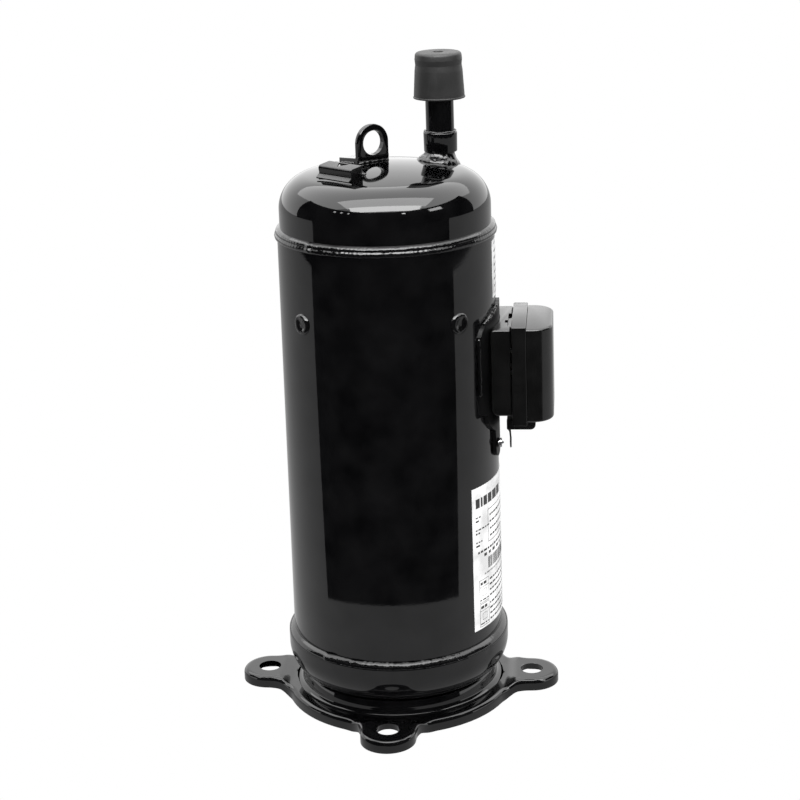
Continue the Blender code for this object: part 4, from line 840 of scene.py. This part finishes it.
def make_rim():
    """The square rim between box and cover, with a round moulding mark on each side."""
    low, high = box_mm("terminal_rim")
    slot_from, slot_to, slot_half = WIRE_SLOT
    square = [(low.y, low.z), (high.y, low.z), (high.y, high.z), (low.y, high.z)]
    rim = cut(soft_prism(square, low.x, high.x, 0.7, (0, 0, 0), (0, 1, 0), (1, 0, 0)),
              block((low.x - 5, low.y + 3, low.z + 5), (high.x + 5, high.y - 3, high.z - 3)),
              block((slot_from, -slot_half, low.z - 5), (slot_to, slot_half, low.z + 10)))
    for side in (-1, 1):
        middle, out = Vector((100.2, side * high.y, 256)), Vector((0, side, 0))
        disc = cylinder(middle - out * 0.16, middle + out * 2, 3.7, 48)
        rim = cut(rim, cut(disc, cylinder(middle - out * 3, middle + out * 3, 3.2, 48)))
    stand_in("terminal_rim", rim, BOX_PLASTIC, 25)


def make_cable_outlet():
    """The cable outlet under the box, and the short wire end below it with its crimped knob."""
    low, high = box_mm("cable_outlet")
    slot_from, slot_to, slot_half = WIRE_SLOT
    side = rounded([(low.x, high.z, 0), (high.x, high.z, 0), (high.x, low.z, 4.0), (low.x, low.z, 0.8)], 8)
    outlet = cut(soft_prism(side, low.y, high.y, 0.7, (0, 0, 0), (1, 0, 0), (0, -1, 0)),
                 block((slot_from, -slot_half, low.z - 5), (slot_to, slot_half, 235)))
    stand_in("cable_outlet", outlet, BOX_PLASTIC, 25)
    wire_x, wire_y = 92.0, -9.0
    route = ((0.4, 1.0), (0.0, -1.8), (-0.4, -3.4), (0.0, -6.0), (0.4, -10.5), (0.3, -15.0), (0.4, -18.8))
    line = [Vector((wire_x + lean, wire_y, low.z + drop)) for lean, drop in route]
    wire = weld_run(line, 0.7, 1.0, 0.05, 10, 0.0)
    for vert in wire.verts:
        knob = math.exp(-((vert.co.z / MM - low.z + 3.6) / 1.3) ** 2)
        vert.co.x += (vert.co.x - wire_x * MM) * 0.9 * knob
        vert.co.y += (vert.co.y - wire_y * MM) * 0.9 * knob
    stand_in("outlet_wire", wire, BRACKET_PAINT)


def make_cover():
    """The cover: a cup with two rounded outer corners, its skin softly edged."""
    low, high = box_mm("terminal_cover")

    def plan(inset, start):
        half, reach, bend = high.y - inset, high.x - inset, COVER_CORNER - inset
        outline = [(start, -half)] + arc((reach - bend, -half + bend), bend, -90.0, 0.0, 18)
        return outline + arc((reach - bend, half - bend), bend, 0.0, 90.0, 18) + [(start, half)]

    cover = prism(plan(0.0, low.x), low.z, high.z)
    edges = [e for e in cover.edges if e.calc_face_angle(0.0) > math.radians(60)
             and not all(abs(v.co.x - low.x * MM) < MERGE for v in e.verts)
             and abs(e.verts[0].co.z - e.verts[1].co.z) < MERGE]
    bevel(cover, edges, 2.0, 5)
    cover = cut(cover, prism(plan(WALL, low.x - 5.0), low.z + WALL, high.z - WALL))
    stand_in("terminal_cover", cover, BOX_PLASTIC, 25, "terminal_cover")


# ------------------------------------------------------------------ labels
def patch(work, start, end, low, high, radius):
    """Add a curved patch on the shell between two angles in degrees and two heights."""
    columns = max(1, int(abs(end - start) / 1.5))
    verts = bmesh.ops.create_grid(work, x_segments=columns, y_segments=1, size=0.5)["verts"]
    for vert in verts:
        angle = math.radians(start + (end - start) * (vert.co.x + 0.5))
        height = low + (high - low) * (vert.co.y + 0.5)
        vert.co = Vector((radius * math.cos(angle), radius * math.sin(angle), height)) * MM


def turned(degrees):
    """Rotation about the shell's axis."""
    return Matrix.Rotation(math.radians(degrees), 3, "Z")


def sticker(node, start, end, low, high):
    """A label: a thin curved sheet with rounded corners standing for its frame node."""
    inner, outer = SHELL_R + 0.05, SHELL_R + 0.32
    work = bmesh.new()
    section = [work.verts.new((r * MM, 0, z * MM)) for r, z in
               rounded([(outer, low, 0.1), (outer, high, 0.1), (inner, high, 0), (inner, low, 0)], 2)]
    face = work.faces.new(section)
    bmesh.ops.rotate(work, cent=(0, 0, 0), matrix=turned(start), verts=work.verts)
    sweep = math.radians(end - start)
    bmesh.ops.spin(work, geom=[face], cent=(0, 0, 0), axis=(0, 0, 1), angle=sweep, steps=60)
    bmesh.ops.recalc_face_normals(work, faces=work.faces)
    stand_in(node, work, LABEL_FILM)


def rule_box(work, start, end, low, high, line, radius):
    """A ruled box printed on a label."""
    thin = math.degrees(line / SHELL_R)
    patch(work, start, end, low, low + line, radius)
    patch(work, start, end, high - line, high, radius)
    patch(work, start, start + thin, low, high, radius)
    patch(work, end - thin, end, low, high, radius)


def dashes(work, draw, start, end, height, size, radius, gap=0.8):
    """A row of plain bars that stands for a line of print."""
    angle = start
    while angle < end - 0.8:
        run = min(draw.uniform(1.2, 3.6), end - angle)
        patch(work, angle, angle + run, height, height + size, radius)
        angle += run + gap


def make_labels():
    """The name label and the upper label, printed with plain bars, boxes and rules only."""
    sticker("name_label", -39.5, 25.0, 67.0, 182.0)
    sticker("upper_label", -11.0, 19.0, 322.0, 366.0)
    draw = random.Random(7)
    ink_r = SHELL_R + 0.36
    dark, pale = bmesh.new(), bmesh.new()
    for start, end in ((-36.6, -33.2), (-32.2, -30.6), (-29.6, -26.0), (-25.0, -20.6), (-19.6, -14.0),
                       (-13.0, -7.0)):
        patch(dark, start, end, 165.5, 173.0, ink_r)
    for row in range(3):
        height = 157.5 - 10.0 * row
        dashes(dark, draw, -37.0, -24.0 if row == 1 else -31.5, height, 1.1, ink_r)
        dashes(dark, draw, -37.0, -33.5, height - 3.0, 1.4, ink_r)
    rule_box(dark, -25.5, 21.0, 134.0, 160.5, 0.5, ink_r)
    for row in range(4):
        dashes(dark, draw, -23.5, 12.0 - 5 * row, 154.5 - 5.6 * row, 1.5, ink_r)
    dashes(dark, draw, -35.5, 4.0, 128.6, 1.7, ink_r)
    dashes(dark, draw, -30.0, 18.0, 124.4, 2.4, ink_r, 2.2)
    angle = -26.0
    while angle < 14.0:
        run = draw.choice((0.25, 0.25, 0.5, 0.75))
        patch(dark, angle, angle + run, 113.0, 122.0, ink_r)
        angle += run + draw.choice((0.3, 0.3, 0.6))
    dashes(pale, draw, -30.0, 12.0, 109.6, 1.2, ink_r)
    for low in (88.0, 68.6):
        rule_box(dark, -35.0, -26.0, low, low + 18.6, 0.35, ink_r)
        patch(dark, -35.0, -26.0, low + 12.6, low + 12.9, ink_r)
        dashes(dark, draw, -34.0, -27.0, low + 14.4, 2.2, ink_r)
        rule_box(pale, -32.6, -28.4, low + 5.0, low + 10.6, 0.4, ink_r)
        dashes(dark, draw, -34.4, -26.6, low + 1.6, 1.0, ink_r)
        for row in range(4):
            dashes(dark, draw, -25.0, 21.0, low + 14.8 - 4.4 * row, 1.5, ink_r)
    rule_box(dark, -9.0, 17.0, 325.0, 363.0, 0.4, ink_r)
    for row in range(6):
        dashes(dark, draw, -7.0, 15.0 - 3 * (row % 2), 356.0 - 5.4 * row, 1.6, ink_r)
    for name, work, finish in (("label_dark_print", dark, INK), ("label_pale_print", pale, GREY_INK)):
        bmesh.ops.recalc_face_normals(work, faces=work.faces)
        for face in work.faces:
            if face.normal.dot(face.calc_center_median().xy.to_3d()) < 0:
                face.normal_flip()
        add_piece(name, work, finish)


# ------------------------------------------------------------------ frame nodes that keep their mesh
def finish_frame_nodes():
    """Give every carried-over piece its finish."""
    finishes = {
        STEEL: ["terminal_disc", "discharge_stop", "reed_screw", "suction_valve_spring", "suction_valve_disc",
                "discharge_reed", "crankshaft", "oil_pickup", "oldham_ring"],
        CAST_IRON: ["main_frame", "fixed_scroll", "lower_frame"],
        ALUMINIUM: ["orbiting_scroll", "upper_end_ring", "lower_end_ring"],
        BRONZE: ["main_bearing", "orbiting_bearing", "lower_bearing", "upper_balance_weight",
                 "lower_balance_weight", "oil_gallery_plug"],
        LAMINATION: ["stator_core", "rotor_core"],
        COPPER: ["stator_winding"],
    }
    finishes[STEEL] += [f"terminal_pin_{number}" for number in (1, 2, 3)]
    finishes[STEEL] += [f"scroll_bolt_{number}" for number in (1, 2, 3, 4)]
    for finish, names in finishes.items():
        for name in names:
            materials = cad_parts[name].data.materials
            materials.clear()
            materials.append(finish)


# ------------------------------------------------------------------ stage, in metres
def add_card(name, width, height, radiance, spot, target=(0.0, 0.0, 0.4)):
    """An evenly bright card at a spot, turned to a target, that only shows in reflections."""
    work = bmesh.new()
    bmesh.ops.create_grid(work, x_segments=1, y_segments=1, size=0.5)
    bmesh.ops.scale(work, vec=(width, height, 1.0), verts=work.verts)
    card = to_object(work, name)
    glowing = bpy.data.materials.new(name)
    glowing.use_nodes = True
    nodes, links = glowing.node_tree.nodes, glowing.node_tree.links
    nodes.clear()
    glow, out = nodes.new("ShaderNodeEmission"), nodes.new("ShaderNodeOutputMaterial")
    glow.inputs["Strength"].default_value = radiance
    links.new(glow.outputs["Emission"], out.inputs["Surface"])
    card.data.materials.append(glowing)
    card.location = spot
    card.rotation_mode = "QUATERNION"
    card.rotation_quaternion = (Vector(target) - Vector(spot)).to_track_quat("-Z", "Y")
    card.visible_camera = card.visible_diffuse = False
    return card


def add_screen(name, radius, low, high, start, end):
    """A dark upright screen on an arc around the object, only there to be reflected."""
    work = bmesh.new()
    verts = [work.verts.new((radius, 0, z)) for z in (low, high)]
    edge = work.edges.new(verts)
    bmesh.ops.rotate(work, cent=(0, 0, 0), matrix=turned(start), verts=work.verts)
    bmesh.ops.spin(work, geom=verts + [edge], cent=(0, 0, 0), axis=(0, 0, 1), angle=math.radians(end - start),
                   steps=80)
    screen = to_object(work, name)
    screen.data.materials.append(new_finish(name, (0.002, 0.002, 0.002), 1.0, Specular_IOR_Level=0.0)[0])
    screen.visible_camera = screen.visible_diffuse = screen.visible_shadow = False


def make_stage():
    """White floor and surround, soft light cards, and two dark screens that the gloss reflects."""
    world = bpy.data.worlds.new("studio")
    bpy.context.scene.world = world
    world.use_nodes = True
    surround = world.node_tree.nodes["Background"].inputs
    surround["Color"].default_value = (1.0, 1.0, 1.0, 1.0)
    surround["Strength"].default_value = 1.6
    overhead = (0.0, 0.0, 1.0)
    seen = add_card("floor", 12.0, 12.0, 1.0, (0.0, 0.0, 0.0), overhead)
    seen.visible_camera = True
    seen.visible_glossy = seen.visible_diffuse = seen.visible_shadow = False
    mirrored = add_card("grey_floor", 12.0, 12.0, 0.55, (0.0, 0.0, -0.0005), overhead)
    mirrored.visible_shadow = False
    add_screen("dark_screen", 0.235, 0.0005, 0.385, -155.0, -24.0)
    add_screen("far_screen", 1.35, 0.28, 1.33, -190.0, 22.0)
    add_card("overhead_softbox", 7.0, 5.0, 3.4, (0.0, 0.3, 2.8))
    add_card("front_softbox", 2.6, 0.62, 14.0, (0.15, -1.36, 1.86))
    add_card("high_softbox", 3.0, 1.1, 7.5, (0.1, -0.72, 2.25))
    add_card("small_window", 0.075, 0.06, 18.0, (0.56, -1.13, 1.06))
    add_card("right_window", 0.34, 0.16, 8.0, (1.08, -0.52, 1.00))
    for number, (x, y) in enumerate(((-0.98, -0.74), (-0.86, -0.88), (-0.72, -1.0)), start=1):
        add_card(f"left_window_{number}", 0.05, 0.08, 9.0, (x, y, 1.04))


def make_camera():
    """A long-lens camera, a little above the plug and looking down at the shell."""
    data = bpy.data.cameras.new("camera")
    camera = bpy.data.objects.new("camera", data)
    bpy.context.scene.collection.objects.link(camera)
    data.lens = 86.626
    data.sensor_width = 36.0
    data.shift_y = -0.224
    heading, pitch, roll = math.radians(95.41), math.radians(-12.566), math.radians(-1.813)
    level_way = Vector((math.cos(heading), math.sin(heading), 0.0)) * math.cos(pitch)
    forward = level_way + Vector((0.0, 0.0, math.sin(pitch)))
    camera.location = (0.14572, -1.42039, 0.69677)
    camera.rotation_mode = "QUATERNION"
    level = forward.to_track_quat("-Z", "Y")
    camera.rotation_quaternion = level @ Matrix.Rotation(roll, 3, "Z").to_quaternion()
    data.clip_start, data.clip_end = 0.05, 50.0
    bpy.context.scene.camera = camera


make_shell()
make_caps()
make_beads()
make_plug_welds()
make_base_plate()
make_suction_side()
make_discharge_side()
make_lifting_lug()
make_sensor_clip()
make_terminal_flange()
make_terminal_box()
make_rim()
make_cover()
make_cable_outlet()
make_labels()
finish_frame_nodes()
make_stage()
make_camera()
bpy.context.scene.view_settings.view_transform = "Standard"
